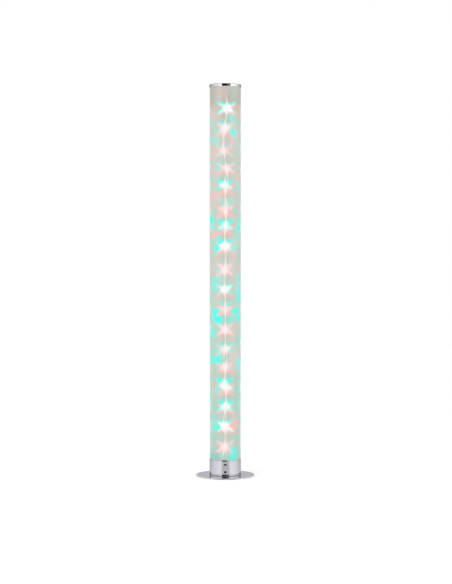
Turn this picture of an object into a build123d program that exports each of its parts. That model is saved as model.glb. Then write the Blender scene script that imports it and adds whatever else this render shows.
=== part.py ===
from build123d import *
import math
import os

# Corner floor lamp: a tall round light column on a chromed base, in millimetres.
# +Z is up, the floor is z = 0 under the column's axis, and -Y is the front.

# Overall sizes
LAMP_HEIGHT = 1006.0
BASE_DIAMETER = 150.0
COLUMN_DIAMETER = 80.0
CUP_HEIGHT = 41.2
CAP_HEIGHT = 7.5

# Pressed steel parts
SHEET = 0.8
SLIP = 0.1
CUP_CORNER_RADIUS = 1.2
CUP_LIP_HEIGHT = 3.0
CUP_LIP_TAPER = 0.6
CAP_CORNER_RADIUS = 0.8
CAP_LIP_HEIGHT = 0.8
CAP_LIP_TAPER = 0.3

# How far a cutting shape runs past the face that it opens
CUT_PAST = 1.0

# Base disc and the foam ring under it
PAD_THICKNESS = 1.0
PAD_DIAMETER = 136.0
PAD_HOLE = 88.0
PLATE_THICKNESS = 2.5
PLATE_RIM_RADIUS = 0.4
PLATE_EDGE_CHAMFER = 0.3

# Cast ballast inside the cup
BALLAST_DIAMETER = 74.0
BALLAST_HEIGHT = 14.0
BALLAST_CHAMFER = 1.0
BALLAST_FLOOR = 2.0
TRAY_DEPTH = 1.0
TRAY_GAP = 0.5
TRAY_FLOOR = 1.0
EYE_NOTCH_WIDTH = 14.0
EYE_NOTCH_DEPTH = 11.0
JACK_NOTCH_WIDTH = 14.4
JACK_NOTCH_DEPTH = 16.0

# Fasteners
M4_RADIUS = 2.0
M4_CLEARANCE_RADIUS = 2.25
M4_HEAD_RADIUS = 4.0
M4_SOCKET = 2.5
M4_SOCKET_DEPTH = 1.6
M4_LENGTH = 14.0
M3_RADIUS = 1.5
M3_CLEARANCE_RADIUS = 1.7
M3_HEAD_RADIUS = 2.8
M3_HEAD_HEIGHT = 1.8
M3_SOCKET = 2.0
M3_SOCKET_DEPTH = 1.1
PILOT_GAP = 0.05
PLATE_SCREW_CIRCLE = 52.0
PLATE_SCREW_ANGLES = (0, 120, 240)
HOLDER_SCREW_CIRCLE = 62.0
HOLDER_SCREW_ANGLES = (60, 180, 300)
HOLDER_SCREW_LENGTH = 20.0
SPINE_SCREW_LENGTH = 10.0

# Moulded holder that centres the column, and the insert in the column's top
HOLDER_POST_HEIGHT = 10.7
HOLDER_POST_RADIUS = 4.0
FLANGE_THICKNESS = 2.0
FLANGE_GAP = 0.1
FLANGE_LAND = 9.0
SPIGOT_GAP = 0.1
SPIGOT_WALL = 2.4
SPIGOT_HEIGHT = 12.0
SOCKET_WALL = 2.8
SOCKET_GAP = 0.15
SOCKET_HEIGHT = 14.0
RIB_THICKNESS = 2.0
RIB_ANGLES = (30, 90, 150, 210, 270, 330)
RIB_SETBACK = 1.0
RIB_DROP = 4.0
RIB_BITE = 1.0
INSERT_FLANGE = 1.2
INSERT_SPIGOT_HEIGHT = 5.0
INSERT_SOCKET_HEIGHT = 12.0
INSERT_RIB_HEIGHT = 4.0

# Acrylic column and the film rolled inside it
TUBE_WALL = 2.0
TUBE_EDGE_CHAMFER = 0.3
FILM_THICKNESS = 0.3
FILM_GAP = 0.3
FILM_SEAM = 0.6
FILM_CLEARANCE = 0.5

# Extruded spine that carries the light strips
SPINE_WIDTH = 12.0
SPINE_CORNER_RADIUS = 0.5
SPINE_GROOVE_WIDTH = 10.2
SPINE_GROOVE_DEPTH = 0.4
SPINE_CAVITY = 3.2
SPINE_WEB = 1.6
SPINE_BOSS_RADIUS = 2.4
STRIP_WIDTH = 10.0
STRIP_THICKNESS = 0.3
STRIP_LIFT = 1.0
STRIP_MARGIN = 12.0
LED_COUNT = 18
LED_PITCH = 51.0
LED_FIRST_Z = 75.0
LED_SIZE = 5.0
LED_HEIGHT = 1.6
LED_WELL_RADIUS = 1.9
LED_WELL_DEPTH = 0.4
LED_WELL_SIDES = 8
SIDES = {"front": 270, "right": 0, "back": 90, "left": 180}

# Controller box
CASE_LENGTH = 46.0
CASE_WIDTH = 34.0
CASE_LOWER_HEIGHT = 5.0
CASE_UPPER_HEIGHT = 4.0
CASE_WALL = 1.6
CASE_CORNER_RADIUS = 3.0
CASE_LIP_WIDTH = 0.7
CASE_LIP_HEIGHT = 0.8
CASE_LIP_GAP = 0.1
CASE_SLOT_WIDTH = 8.0
CASE_SLOT_HEIGHT = 2.2
CASE_VENT_COUNT = 5
CASE_VENT_PITCH = 4.0
CASE_VENT = (1.4, 14.0)
BOARD_GAP = 0.6
BOARD_THICKNESS = 1.6
BOARD_POST_RADIUS = 2.2
BOARD_POST_HEIGHT = 1.2

# Larger parts on the board: length, width and height, and where each stands
PROCESSOR = (5.0, 4.0, 1.5)
PROCESSOR_PLACE = (-6, 3)
DRIVER = (3.0, 3.0, 1.1)
DRIVER_PLACES = ((12, -7), (12, 0), (12, 7))
COIL = (6.0, 6.0, 2.4)
COIL_PLACE = (-15, -7)
CAPACITOR_RADIUS = 2.5
CAPACITOR_HEIGHT = 2.4
CAPACITOR_PLACE = (-15, 7)

# Receiver eye at the front and supply socket at the back
EYE_HEIGHT = 14.4
EYE_RADIUS = 3.1
EYE_HOLE_GAP = 0.1
EYE_FLANGE_RADIUS = 4.4
EYE_FLANGE_THICKNESS = 1.2
EYE_DOME_RISE = 0.5
RECEIVER_SIZE = (5.6, 3.6, 7.0)
RECEIVER_LENS_RADIUS = 1.6
RECEIVER_LENS_RISE = 0.8
RECEIVER_GAP = 0.2
EYE_BOARD = (12.0, 1.0, 13.4)
JACK_HEIGHT = 12.4
JACK_BARREL_RADIUS = 4.8
JACK_HOLE_GAP = 0.15
JACK_PROUD = 1.7
JACK_RIM_RADIUS = 0.6
JACK_BORE_RADIUS = 2.85
JACK_BORE_DEPTH = 10.0
JACK_BODY_WIDTH = 13.8
JACK_BODY_HEIGHT = 13.4
JACK_BODY_DEPTH = 12.4
PIN_RADIUS = 1.05
PIN_SHOULDER_RADIUS = 2.3
PIN_SHOULDER = 0.8
PIN_BACK = 1.0
PIN_TIP_RADIUS = 0.5
PIN_TAIL = 2.5

# Flat ribbon wires
CORE_PITCH = 1.3
RIBBON_THICKNESS = 1.2
RIBBON_BEND = 2.0
LEAD_END = 1.0
LEAD_DROP = 4.0
LEAD_RISE = 3.0

# Heights and radii that follow from the sizes above
TUBE_RADIUS = COLUMN_DIAMETER / 2
TUBE_INNER_RADIUS = TUBE_RADIUS - TUBE_WALL
SHELL_INNER_RADIUS = TUBE_RADIUS + SLIP
SHELL_OUTER_RADIUS = SHELL_INNER_RADIUS + SHEET
PLATE_TOP = PAD_THICKNESS + PLATE_THICKNESS
CUP_FLOOR_TOP = PLATE_TOP + SHEET
CUP_TOP = PLATE_TOP + CUP_HEIGHT
BALLAST_TOP = CUP_FLOOR_TOP + BALLAST_HEIGHT
FLANGE_BOTTOM = BALLAST_TOP + HOLDER_POST_HEIGHT
FLANGE_TOP = FLANGE_BOTTOM + FLANGE_THICKNESS
TUBE_BOTTOM = FLANGE_TOP
CAP_BOTTOM = LAMP_HEIGHT - CAP_HEIGHT
INSERT_TOP = LAMP_HEIGHT - SHEET
TUBE_TOP = INSERT_TOP - INSERT_FLANGE
SPINE_BOTTOM = FLANGE_TOP
SPINE_TOP = TUBE_TOP - FLANGE_THICKNESS
CASE_BOTTOM = BALLAST_TOP - TRAY_DEPTH
CASE_SPLIT = CASE_BOTTOM + CASE_LOWER_HEIGHT
CASE_TOP = CASE_SPLIT + CASE_UPPER_HEIGHT
BOARD_BOTTOM = CASE_BOTTOM + CASE_WALL + BOARD_POST_HEIGHT
BOARD_TOP = BOARD_BOTTOM + BOARD_THICKNESS
SLOT_MIDDLE = BOARD_TOP + CASE_SLOT_HEIGHT / 2
RECEIVER_FRONT = -SHELL_INNER_RADIUS + EYE_FLANGE_THICKNESS + RECEIVER_GAP + RECEIVER_LENS_RISE
EYE_BOARD_FRONT = RECEIVER_FRONT + RECEIVER_SIZE[1]


def disc(radius, bottom, top):
    """A plain round on the column's axis, from one height to another."""
    return Pos(0, 0, bottom) * extrude(Circle(radius), top - bottom)


def ring(outer, inner, bottom, top):
    """A round wall on the column's axis."""
    return Pos(0, 0, bottom) * extrude(Circle(outer) - Circle(inner), top - bottom)


def block(width, depth, height, centre, bottom):
    """A box that stands on a height, centred on a point in plan."""
    x, y = centre
    return Pos(x, y, bottom) * extrude(Rectangle(width, depth), height)


def turned(outline, rounds=()):
    """A solid of revolution about Z. rounds pairs a corner of the outline with its radius."""
    section = make_face(Polyline(*outline, close=True))
    for corner, radius in rounds:
        nearest = section.vertices().sort_by_distance(Vector(*corner, 0))[0]
        section = fillet(nearest, radius)
    return revolve(Plane.XZ * section, axis=Axis.Z)


def around(angles, circle_diameter):
    """Places on a pitch circle, each turned to its own angle."""
    return [Rot(0, 0, angle) * Pos(circle_diameter / 2, 0, 0) for angle in angles]


def along_y(radius, start, end, height):
    """A round rod along Y at a height, from one y to another."""
    rod = extrude(Circle(radius), end - start)
    return Pos(0, start, height) * Rot(-90, 0, 0) * rod


def hex_socket(across_flats, depth):
    """The key recess of a screw, its mouth at z = 0 and its depth downwards."""
    hexagon = RegularPolygon(across_flats / math.sqrt(3), 6)
    return extrude(hexagon, -depth)


def group(pieces):
    """Identical or related pieces that are kept as separate solids in one node."""
    return Compound(children=list(pieces))


def floor_pad():
    """Foam ring stuck under the base disc, inside its rounded rim."""
    return ring(PAD_DIAMETER / 2, PAD_HOLE / 2, 0, PAD_THICKNESS)


def base_plate():
    """Steel disc with an eased rim, a broken lower edge and three countersunk holes from below."""
    radius = BASE_DIAMETER / 2
    outline = [
        (0, PAD_THICKNESS),
        (radius - PLATE_EDGE_CHAMFER, PAD_THICKNESS),
        (radius, PAD_THICKNESS + PLATE_EDGE_CHAMFER),
        (radius, PLATE_TOP),
        (0, PLATE_TOP),
    ]
    plate = turned(outline, [((radius, PLATE_TOP), PLATE_RIM_RADIUS)])
    head_depth = M4_HEAD_RADIUS - M4_RADIUS
    sink_radius = M4_HEAD_RADIUS + PILOT_GAP
    sink = Cone(
        sink_radius,
        M4_CLEARANCE_RADIUS,
        head_depth,
        align=(Align.CENTER, Align.CENTER, Align.MIN),
    )
    for place in around(PLATE_SCREW_ANGLES, PLATE_SCREW_CIRCLE):
        plate -= place * disc(M4_CLEARANCE_RADIUS, PAD_THICKNESS, PLATE_TOP)
        plate -= place * Pos(0, 0, PAD_THICKNESS) * sink
    return plate


def countersunk_screw():
    """Countersunk screw that points up, with the face of its head at z = 0."""
    head_depth = M4_HEAD_RADIUS - M4_RADIUS
    outline = [
        (0, 0),
        (M4_HEAD_RADIUS, 0),
        (M4_RADIUS, head_depth),
        (M4_RADIUS, M4_LENGTH - M4_RADIUS / 2),
        (M4_RADIUS / 2, M4_LENGTH),
        (0, M4_LENGTH),
    ]
    return turned(outline) - Rot(180, 0, 0) * hex_socket(M4_SOCKET, M4_SOCKET_DEPTH)


def plate_screws():
    """The screws that clamp the disc and the cup up against the ballast."""
    screw = countersunk_screw()
    places = around(PLATE_SCREW_ANGLES, PLATE_SCREW_CIRCLE)
    return group(place * Pos(0, 0, PAD_THICKNESS) * screw for place in places)


def base_cup():
    """Deep-drawn cup with a necked lip, the eye's hole in front and the socket's hole behind."""
    lip_start = CUP_TOP - CUP_LIP_HEIGHT
    inner_corner = CUP_CORNER_RADIUS - SHEET
    outline = [
        (0, PLATE_TOP),
        (SHELL_OUTER_RADIUS, PLATE_TOP),
        (SHELL_OUTER_RADIUS, lip_start),
        (SHELL_OUTER_RADIUS - CUP_LIP_TAPER, CUP_TOP),
        (SHELL_INNER_RADIUS, CUP_TOP),
        (SHELL_INNER_RADIUS, CUP_FLOOR_TOP + inner_corner),
        (SHELL_INNER_RADIUS - inner_corner, CUP_FLOOR_TOP),
        (0, CUP_FLOOR_TOP),
    ]
    cup = turned(outline, [((SHELL_OUTER_RADIUS, PLATE_TOP), CUP_CORNER_RADIUS)])
    for place in around(PLATE_SCREW_ANGLES, PLATE_SCREW_CIRCLE):
        cup -= place * disc(M4_CLEARANCE_RADIUS, PLATE_TOP, CUP_FLOOR_TOP)
    reach = SHELL_OUTER_RADIUS + CUT_PAST
    cup -= along_y(EYE_RADIUS + EYE_HOLE_GAP, -reach, 0, EYE_HEIGHT)
    cup -= along_y(JACK_BARREL_RADIUS + JACK_HOLE_GAP, 0, reach, JACK_HEIGHT)
    return cup


def ballast():
    """Cast iron weight, notched for the eye and the socket, with a tray for the controller."""
    radius = BALLAST_DIAMETER / 2
    weight = disc(radius, CUP_FLOOR_TOP, BALLAST_TOP)
    weight = chamfer(weight.edges().filter_by(GeomType.CIRCLE), BALLAST_CHAMFER)
    eye_depth = EYE_NOTCH_DEPTH + CUT_PAST
    front = (0, eye_depth / 2 - radius - CUT_PAST)
    weight -= block(EYE_NOTCH_WIDTH, eye_depth, BALLAST_HEIGHT, front, CUP_FLOOR_TOP)
    jack_depth = JACK_NOTCH_DEPTH + CUT_PAST
    back = (0, radius + CUT_PAST - jack_depth / 2)
    weight -= block(JACK_NOTCH_WIDTH, jack_depth, BALLAST_HEIGHT, back, CUP_FLOOR_TOP)
    tray = RectangleRounded(CASE_LENGTH + 2 * TRAY_GAP, CASE_WIDTH + 2 * TRAY_GAP, CASE_CORNER_RADIUS)
    weight -= Pos(0, 0, CASE_BOTTOM) * extrude(tray, TRAY_DEPTH)
    for place in around(PLATE_SCREW_ANGLES, PLATE_SCREW_CIRCLE):
        weight -= place * disc(M4_RADIUS + PILOT_GAP, CUP_FLOOR_TOP, CASE_BOTTOM - TRAY_FLOOR)
    for place in around(HOLDER_SCREW_ANGLES, HOLDER_SCREW_CIRCLE):
        weight -= place * disc(M3_RADIUS + PILOT_GAP, CUP_FLOOR_TOP + BALLAST_FLOOR, BALLAST_TOP)
    return weight


def rib(outer, inner, bottom, tall, short):
    """A radial web that is tall at the middle and lower where it meets the outer wall."""
    outline = [(inner, bottom), (outer, bottom), (outer, bottom + short), (inner, bottom + tall)]
    return extrude(Plane.XZ * make_face(Polyline(*outline, close=True)), RIB_THICKNESS / 2, both=True)


def spine_socket(bottom, height, floor, opens_down=False):
    """A square moulded socket for the spine's end, closed by a floor with a screw hole."""
    hole = SPINE_WIDTH + 2 * SOCKET_GAP
    outer = hole + 2 * SOCKET_WALL
    walls = Pos(0, 0, bottom) * extrude(RectangleRounded(outer, outer, SOCKET_WALL), height)
    mouth = bottom if opens_down else bottom + floor
    walls -= block(hole, hole, height - floor, (0, 0), mouth)
    return walls - disc(M3_CLEARANCE_RADIUS, bottom, bottom + height)


def lower_holder():
    """Moulded seat of the column: posts, a flange, a spigot inside the tube and a ribbed socket."""
    flange_radius = SHELL_INNER_RADIUS - FLANGE_GAP
    spigot_outer = TUBE_INNER_RADIUS - SPIGOT_GAP
    spigot_inner = spigot_outer - SPIGOT_WALL
    socket_half = SPINE_WIDTH / 2 + SOCKET_GAP + SOCKET_WALL
    holder = ring(flange_radius, spigot_inner - FLANGE_LAND, FLANGE_BOTTOM, FLANGE_TOP)
    holder += ring(spigot_outer, spigot_inner, FLANGE_TOP, FLANGE_TOP + SPIGOT_HEIGHT)
    holder += spine_socket(FLANGE_BOTTOM, SOCKET_HEIGHT + FLANGE_THICKNESS, FLANGE_THICKNESS)
    tall = SOCKET_HEIGHT + FLANGE_THICKNESS - RIB_SETBACK
    web = rib(spigot_inner + RIB_BITE, socket_half - RIB_BITE, FLANGE_BOTTOM, tall, tall - RIB_DROP)
    for angle in RIB_ANGLES:
        holder += Rot(0, 0, angle) * web
    for place in around(HOLDER_SCREW_ANGLES, HOLDER_SCREW_CIRCLE):
        holder += place * disc(HOLDER_POST_RADIUS, BALLAST_TOP, FLANGE_BOTTOM)
        holder -= place * disc(M3_CLEARANCE_RADIUS, BALLAST_TOP, FLANGE_TOP)
    hole = SPINE_WIDTH + 2 * SOCKET_GAP
    return holder - block(hole, hole, SOCKET_HEIGHT, (0, 0), FLANGE_TOP)


def pan_screw(length):
    """Pan-head screw that points down, with the underside of its head at z = 0."""
    outline = [
        (0, -length),
        (M3_RADIUS / 2, -length),
        (M3_RADIUS, M3_RADIUS - length),
        (M3_RADIUS, 0),
        (M3_HEAD_RADIUS, 0),
        (M3_HEAD_RADIUS, M3_HEAD_HEIGHT / 2),
        (M3_RADIUS, M3_HEAD_HEIGHT),
        (0, M3_HEAD_HEIGHT),
    ]
    return turned(outline) - Pos(0, 0, M3_HEAD_HEIGHT) * hex_socket(M3_SOCKET, M3_SOCKET_DEPTH)


def holder_screws():
    """The screws that hold the moulded seat down on the ballast, through its posts."""
    screw = pan_screw(HOLDER_SCREW_LENGTH)
    places = around(HOLDER_SCREW_ANGLES, HOLDER_SCREW_CIRCLE)
    return group(place * Pos(0, 0, FLANGE_TOP) * screw for place in places)


def spine_screws():
    """One screw into each end of the spine: up through the seat, down through the insert."""
    screw = pan_screw(SPINE_SCREW_LENGTH)
    lower = Pos(0, 0, FLANGE_BOTTOM) * Rot(180, 0, 0) * screw
    upper = Pos(0, 0, INSERT_TOP - M3_HEAD_HEIGHT) * screw
    return group([lower, upper])


def diffuser_tube():
    """Clear acrylic column, its ends lightly chamfered."""
    tube = ring(TUBE_RADIUS, TUBE_INNER_RADIUS, TUBE_BOTTOM, TUBE_TOP)
    return chamfer(tube.edges().filter_by(GeomType.CIRCLE), TUBE_EDGE_CHAMFER)


def star_film():
    """Sheet rolled up inside the column, its two edges meeting at the back."""
    outer = TUBE_INNER_RADIUS - FILM_GAP
    bottom = FLANGE_TOP + SPIGOT_HEIGHT + FILM_CLEARANCE
    film = ring(outer, outer - FILM_THICKNESS, bottom, CAP_BOTTOM)
    return film - block(FILM_SEAM, 2 * TUBE_WALL, CAP_BOTTOM - bottom, (0, outer), bottom)


def led_spine():
    """Square aluminium extrusion with four strip grooves, four cavities and a screw port."""
    half = SPINE_WIDTH / 2
    section = RectangleRounded(SPINE_WIDTH, SPINE_WIDTH, SPINE_CORNER_RADIUS)
    groove = Pos(half, 0) * Rectangle(2 * SPINE_GROOVE_DEPTH, SPINE_GROOVE_WIDTH)
    middle = (SPINE_WEB + SPINE_CAVITY) / 2
    cavity = Pos(middle, middle) * Rectangle(SPINE_CAVITY, SPINE_CAVITY) - Circle(SPINE_BOSS_RADIUS)
    for angle in SIDES.values():
        section -= Rot(0, 0, angle) * groove
        section -= Rot(0, 0, angle) * cavity
    section -= Circle(M3_RADIUS + PILOT_GAP)
    return Pos(0, 0, SPINE_BOTTOM) * extrude(section, SPINE_TOP - SPINE_BOTTOM)


def led_strip(angle):
    """Flexible board laid in one groove of the spine."""
    face = SPINE_WIDTH / 2 - SPINE_GROOVE_DEPTH
    bottom = FLANGE_TOP + SOCKET_HEIGHT + STRIP_LIFT
    top = CAP_BOTTOM - STRIP_MARGIN
    board = block(STRIP_THICKNESS, STRIP_WIDTH, top - bottom, (face + STRIP_THICKNESS / 2, 0), bottom)
    return Rot(0, 0, angle) * board


def led_package():
    """One square light package that faces +Z, its well drawn with a few flats."""
    package = extrude(Rectangle(LED_SIZE, LED_SIZE), LED_HEIGHT)
    well = extrude(RegularPolygon(LED_WELL_RADIUS, LED_WELL_SIDES), LED_WELL_DEPTH)
    return package - Pos(0, 0, LED_HEIGHT - LED_WELL_DEPTH) * well


def led_row(angle):
    """All the packages of one strip, evenly spaced up the column."""
    face = SPINE_WIDTH / 2 - SPINE_GROOVE_DEPTH + STRIP_THICKNESS
    package = Rot(0, 90, 0) * led_package()
    heights = [LED_FIRST_Z + LED_PITCH * i for i in range(LED_COUNT)]
    return group(Rot(0, 0, angle) * Pos(face, 0, z) * package for z in heights)


def cap_insert():
    """Moulded plug in the column's top that centres the spine under the cap."""
    spigot_outer = TUBE_INNER_RADIUS - SPIGOT_GAP
    spigot_inner = spigot_outer - SPIGOT_WALL
    socket_half = SPINE_WIDTH / 2 + SOCKET_GAP + SOCKET_WALL
    hole = SPINE_WIDTH + 2 * SOCKET_GAP
    insert = disc(TUBE_RADIUS, TUBE_TOP, INSERT_TOP)
    insert += ring(spigot_outer, spigot_inner, TUBE_TOP - INSERT_SPIGOT_HEIGHT, TUBE_TOP)
    height = INSERT_SOCKET_HEIGHT + FLANGE_THICKNESS
    insert += spine_socket(TUBE_TOP - height, height, FLANGE_THICKNESS, opens_down=True)
    tall = INSERT_RIB_HEIGHT
    web = rib(spigot_inner + RIB_BITE, socket_half - RIB_BITE, TUBE_TOP - tall, tall, tall)
    for angle in RIB_ANGLES:
        insert += Rot(0, 0, angle) * web
    insert -= block(hole, hole, INSERT_SOCKET_HEIGHT, (0, 0), TUBE_TOP - height)
    insert -= disc(M3_CLEARANCE_RADIUS, TUBE_TOP - tall, INSERT_TOP)
    return insert - disc(M3_HEAD_RADIUS + SLIP, INSERT_TOP - M3_HEAD_HEIGHT, INSERT_TOP)


def top_cap():
    """Shallow pressed cap over the column's end, with the same necked lip as the cup."""
    lip_start = CAP_BOTTOM + CAP_LIP_HEIGHT
    outline = [
        (0, LAMP_HEIGHT),
        (SHELL_OUTER_RADIUS, LAMP_HEIGHT),
        (SHELL_OUTER_RADIUS, lip_start),
        (SHELL_OUTER_RADIUS - CAP_LIP_TAPER, CAP_BOTTOM),
        (SHELL_INNER_RADIUS, CAP_BOTTOM),
        (SHELL_INNER_RADIUS, INSERT_TOP),
        (0, INSERT_TOP),
    ]
    return turned(outline, [((SHELL_OUTER_RADIUS, LAMP_HEIGHT), CAP_CORNER_RADIUS)])


def case_half(bottom, height, floor_at_bottom):
    """One half of the controller box: a rounded tray, open towards the other half."""
    outer = RectangleRounded(CASE_LENGTH, CASE_WIDTH, CASE_CORNER_RADIUS)
    inner = RectangleRounded(
        CASE_LENGTH - 2 * CASE_WALL, CASE_WIDTH - 2 * CASE_WALL, CASE_CORNER_RADIUS - CASE_WALL / 2
    )
    shell = Pos(0, 0, bottom) * extrude(outer, height)
    hollow_bottom = bottom + CASE_WALL if floor_at_bottom else bottom
    return shell - Pos(0, 0, hollow_bottom) * extrude(inner, height - CASE_WALL)


def case_lip(gap):
    """The lip that stands on the lower half and enters a rebate in the upper half, which is a gap larger."""
    length, width = CASE_LENGTH - 2 * CASE_WALL, CASE_WIDTH - 2 * CASE_WALL
    inner_radius = CASE_CORNER_RADIUS - CASE_WALL / 2
    reach = 2 * (CASE_LIP_WIDTH + gap)
    lip = RectangleRounded(length + reach, width + reach, inner_radius + CASE_LIP_WIDTH + gap)
    lip -= RectangleRounded(length, width, inner_radius)
    return Pos(0, 0, CASE_SPLIT) * extrude(lip, CASE_LIP_HEIGHT + gap)


def case_slots():
    """The space of the wire slots: one through the front and the back, and one through an end."""
    slot_bottom = SLOT_MIDDLE - CASE_SLOT_HEIGHT / 2
    depth = CASE_WIDTH + 2 * CUT_PAST
    across = block(CASE_SLOT_WIDTH, depth, CASE_SLOT_HEIGHT, (0, 0), slot_bottom)
    end = block(CASE_WALL * 3, CASE_SLOT_WIDTH, CASE_SLOT_HEIGHT, (CASE_LENGTH / 2, 0), slot_bottom)
    return across + end


def controller_case_lower():
    """Lower half of the controller box, with a lip round its rim and four posts under the board."""
    case = case_half(CASE_BOTTOM, CASE_LOWER_HEIGHT, True) + case_lip(0)
    x = CASE_LENGTH / 2 - CASE_WALL - BOARD_POST_RADIUS
    y = CASE_WIDTH / 2 - CASE_WALL - BOARD_POST_RADIUS
    post = disc(BOARD_POST_RADIUS, CASE_BOTTOM + CASE_WALL, BOARD_BOTTOM)
    for sx in (-1, 1):
        for sy in (-1, 1):
            case += Pos(sx * x, sy * y, 0) * post
    return case - case_slots()


def controller_case_upper():
    """Upper half of the controller box, rebated for the lower half's lip, with a row of vents."""
    case = case_half(CASE_SPLIT, CASE_UPPER_HEIGHT, False) - case_lip(CASE_LIP_GAP) - case_slots()
    width, length = CASE_VENT
    for i in range(CASE_VENT_COUNT):
        x = (i - (CASE_VENT_COUNT - 1) / 2) * CASE_VENT_PITCH
        case -= block(width, length, CASE_WALL, (x, 0), CASE_TOP - CASE_WALL)
    return case


def controller_board():
    """Circuit board that lies on the posts of the lower half."""
    inset = 2 * (CASE_WALL + BOARD_GAP)
    outline = RectangleRounded(CASE_LENGTH - inset, CASE_WIDTH - inset, CASE_CORNER_RADIUS - CASE_WALL)
    return Pos(0, 0, BOARD_BOTTOM) * extrude(outline, BOARD_THICKNESS)


def board_components():
    """The larger parts on the board: processor, three colour drivers, coil and capacitor."""
    capacitor = disc(CAPACITOR_RADIUS, BOARD_TOP, BOARD_TOP + CAPACITOR_HEIGHT)
    parts = [
        block(*PROCESSOR, PROCESSOR_PLACE, BOARD_TOP),
        block(*COIL, COIL_PLACE, BOARD_TOP),
        Pos(*CAPACITOR_PLACE, 0) * capacitor,
    ]
    return group(parts + [block(*DRIVER, place, BOARD_TOP) for place in DRIVER_PLACES])


def ir_eye():
    """Smoked window in the cup's front: a domed plug with a flange curved to the wall inside."""
    wall = SHELL_INNER_RADIUS
    front = -(SHELL_OUTER_RADIUS + EYE_DOME_RISE)
    flange = along_y(EYE_FLANGE_RADIUS, -wall, -wall + EYE_FLANGE_THICKNESS, EYE_HEIGHT)
    flange &= disc(wall - PILOT_GAP, 0, CUP_TOP)
    plug = along_y(EYE_RADIUS, front, -wall + EYE_FLANGE_THICKNESS, EYE_HEIGHT)
    rim = plug.edges().filter_by(GeomType.CIRCLE).sort_by(Axis.Y)[0]
    return fillet(rim, EYE_DOME_RISE) + flange


def ir_receiver():
    """Three-leg receiver behind the window, its lens towards the front."""
    width, depth, height = RECEIVER_SIZE
    body = block(width, depth, height, (0, RECEIVER_FRONT + depth / 2), EYE_HEIGHT - height / 2)
    lens_y = RECEIVER_FRONT + RECEIVER_LENS_RADIUS - RECEIVER_LENS_RISE
    return body + Pos(0, lens_y, EYE_HEIGHT) * Sphere(RECEIVER_LENS_RADIUS)


def ir_board():
    """Small upright board in the ballast's front notch that carries the receiver."""
    width, thickness, height = EYE_BOARD
    return block(width, thickness, height, (0, EYE_BOARD_FRONT + thickness / 2), CUP_FLOOR_TOP)


def ribbon(route, cores, side):
    """A flat ribbon of wires along straight runs joined by arcs, with its width along side."""
    path = FilletPolyline(*route, radius=RIBBON_BEND)
    start = Plane(origin=path @ 0, x_dir=side, z_dir=path % 0)
    return sweep(start * Rectangle(cores * CORE_PITCH, RIBBON_THICKNESS), path=path)


def ir_lead():
    """Three-core ribbon from the receiver's board over the ballast's edge into the controller."""
    start = EYE_BOARD_FRONT + EYE_BOARD[1]
    inside = -CASE_WIDTH / 2 + CASE_WALL + LEAD_END
    low = CUP_FLOOR_TOP + EYE_BOARD[2] - LEAD_DROP
    bend_y = start + 1.5 * RIBBON_BEND
    route = [(0, start, low), (0, bend_y, low), (0, bend_y, SLOT_MIDDLE), (0, inside, SLOT_MIDDLE)]
    return ribbon(route, 3, (1, 0, 0))


def dc_jack():
    """Moulded supply socket: a block in the ballast's notch with its barrel through the cup."""
    wall = SHELL_INNER_RADIUS - CUP_CORNER_RADIUS + SHEET
    mouth = SHELL_OUTER_RADIUS + JACK_PROUD
    back = SHELL_INNER_RADIUS - PILOT_GAP - JACK_BODY_DEPTH
    depth = JACK_BODY_DEPTH + CUT_PAST
    body = block(JACK_BODY_WIDTH, depth, JACK_BODY_HEIGHT, (0, back + depth / 2), CUP_FLOOR_TOP)
    body &= disc(wall, 0, CUP_TOP)
    barrel = along_y(JACK_BARREL_RADIUS, back + CUT_PAST, mouth, JACK_HEIGHT)
    rim = barrel.edges().filter_by(GeomType.CIRCLE).sort_by(Axis.Y)[-1]
    body += fillet(rim, JACK_RIM_RADIUS)
    body -= along_y(JACK_BORE_RADIUS, mouth - JACK_BORE_DEPTH, mouth, JACK_HEIGHT)
    return body - along_y(PIN_RADIUS + PILOT_GAP, back - CUT_PAST, mouth, JACK_HEIGHT)


def jack_pin():
    """Plated contact pin in the socket, with a shoulder on the bore's floor and a solder tail."""
    mouth = SHELL_OUTER_RADIUS + JACK_PROUD
    bore_floor = mouth - JACK_BORE_DEPTH
    tail = SHELL_INNER_RADIUS - JACK_BODY_DEPTH - PIN_TAIL
    pin = along_y(PIN_RADIUS, tail, mouth - PIN_BACK, JACK_HEIGHT)
    tip = pin.edges().filter_by(GeomType.CIRCLE).sort_by(Axis.Y)[-1]
    shoulder = along_y(PIN_SHOULDER_RADIUS, bore_floor, bore_floor + PIN_SHOULDER, JACK_HEIGHT)
    return fillet(tip, PIN_TIP_RADIUS) + shoulder


def power_lead():
    """Two-core ribbon from the back of the socket up over the ballast into the controller."""
    start = SHELL_INNER_RADIUS - PILOT_GAP - JACK_BODY_DEPTH
    inside = CASE_WIDTH / 2 - CASE_WALL - LEAD_END
    low = CUP_FLOOR_TOP + LEAD_RISE
    bend_y = start - 2 * RIBBON_BEND
    route = [(0, start, low), (0, bend_y, low), (0, bend_y, SLOT_MIDDLE), (0, inside, SLOT_MIDDLE)]
    return ribbon(route, 2, (1, 0, 0))


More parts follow.
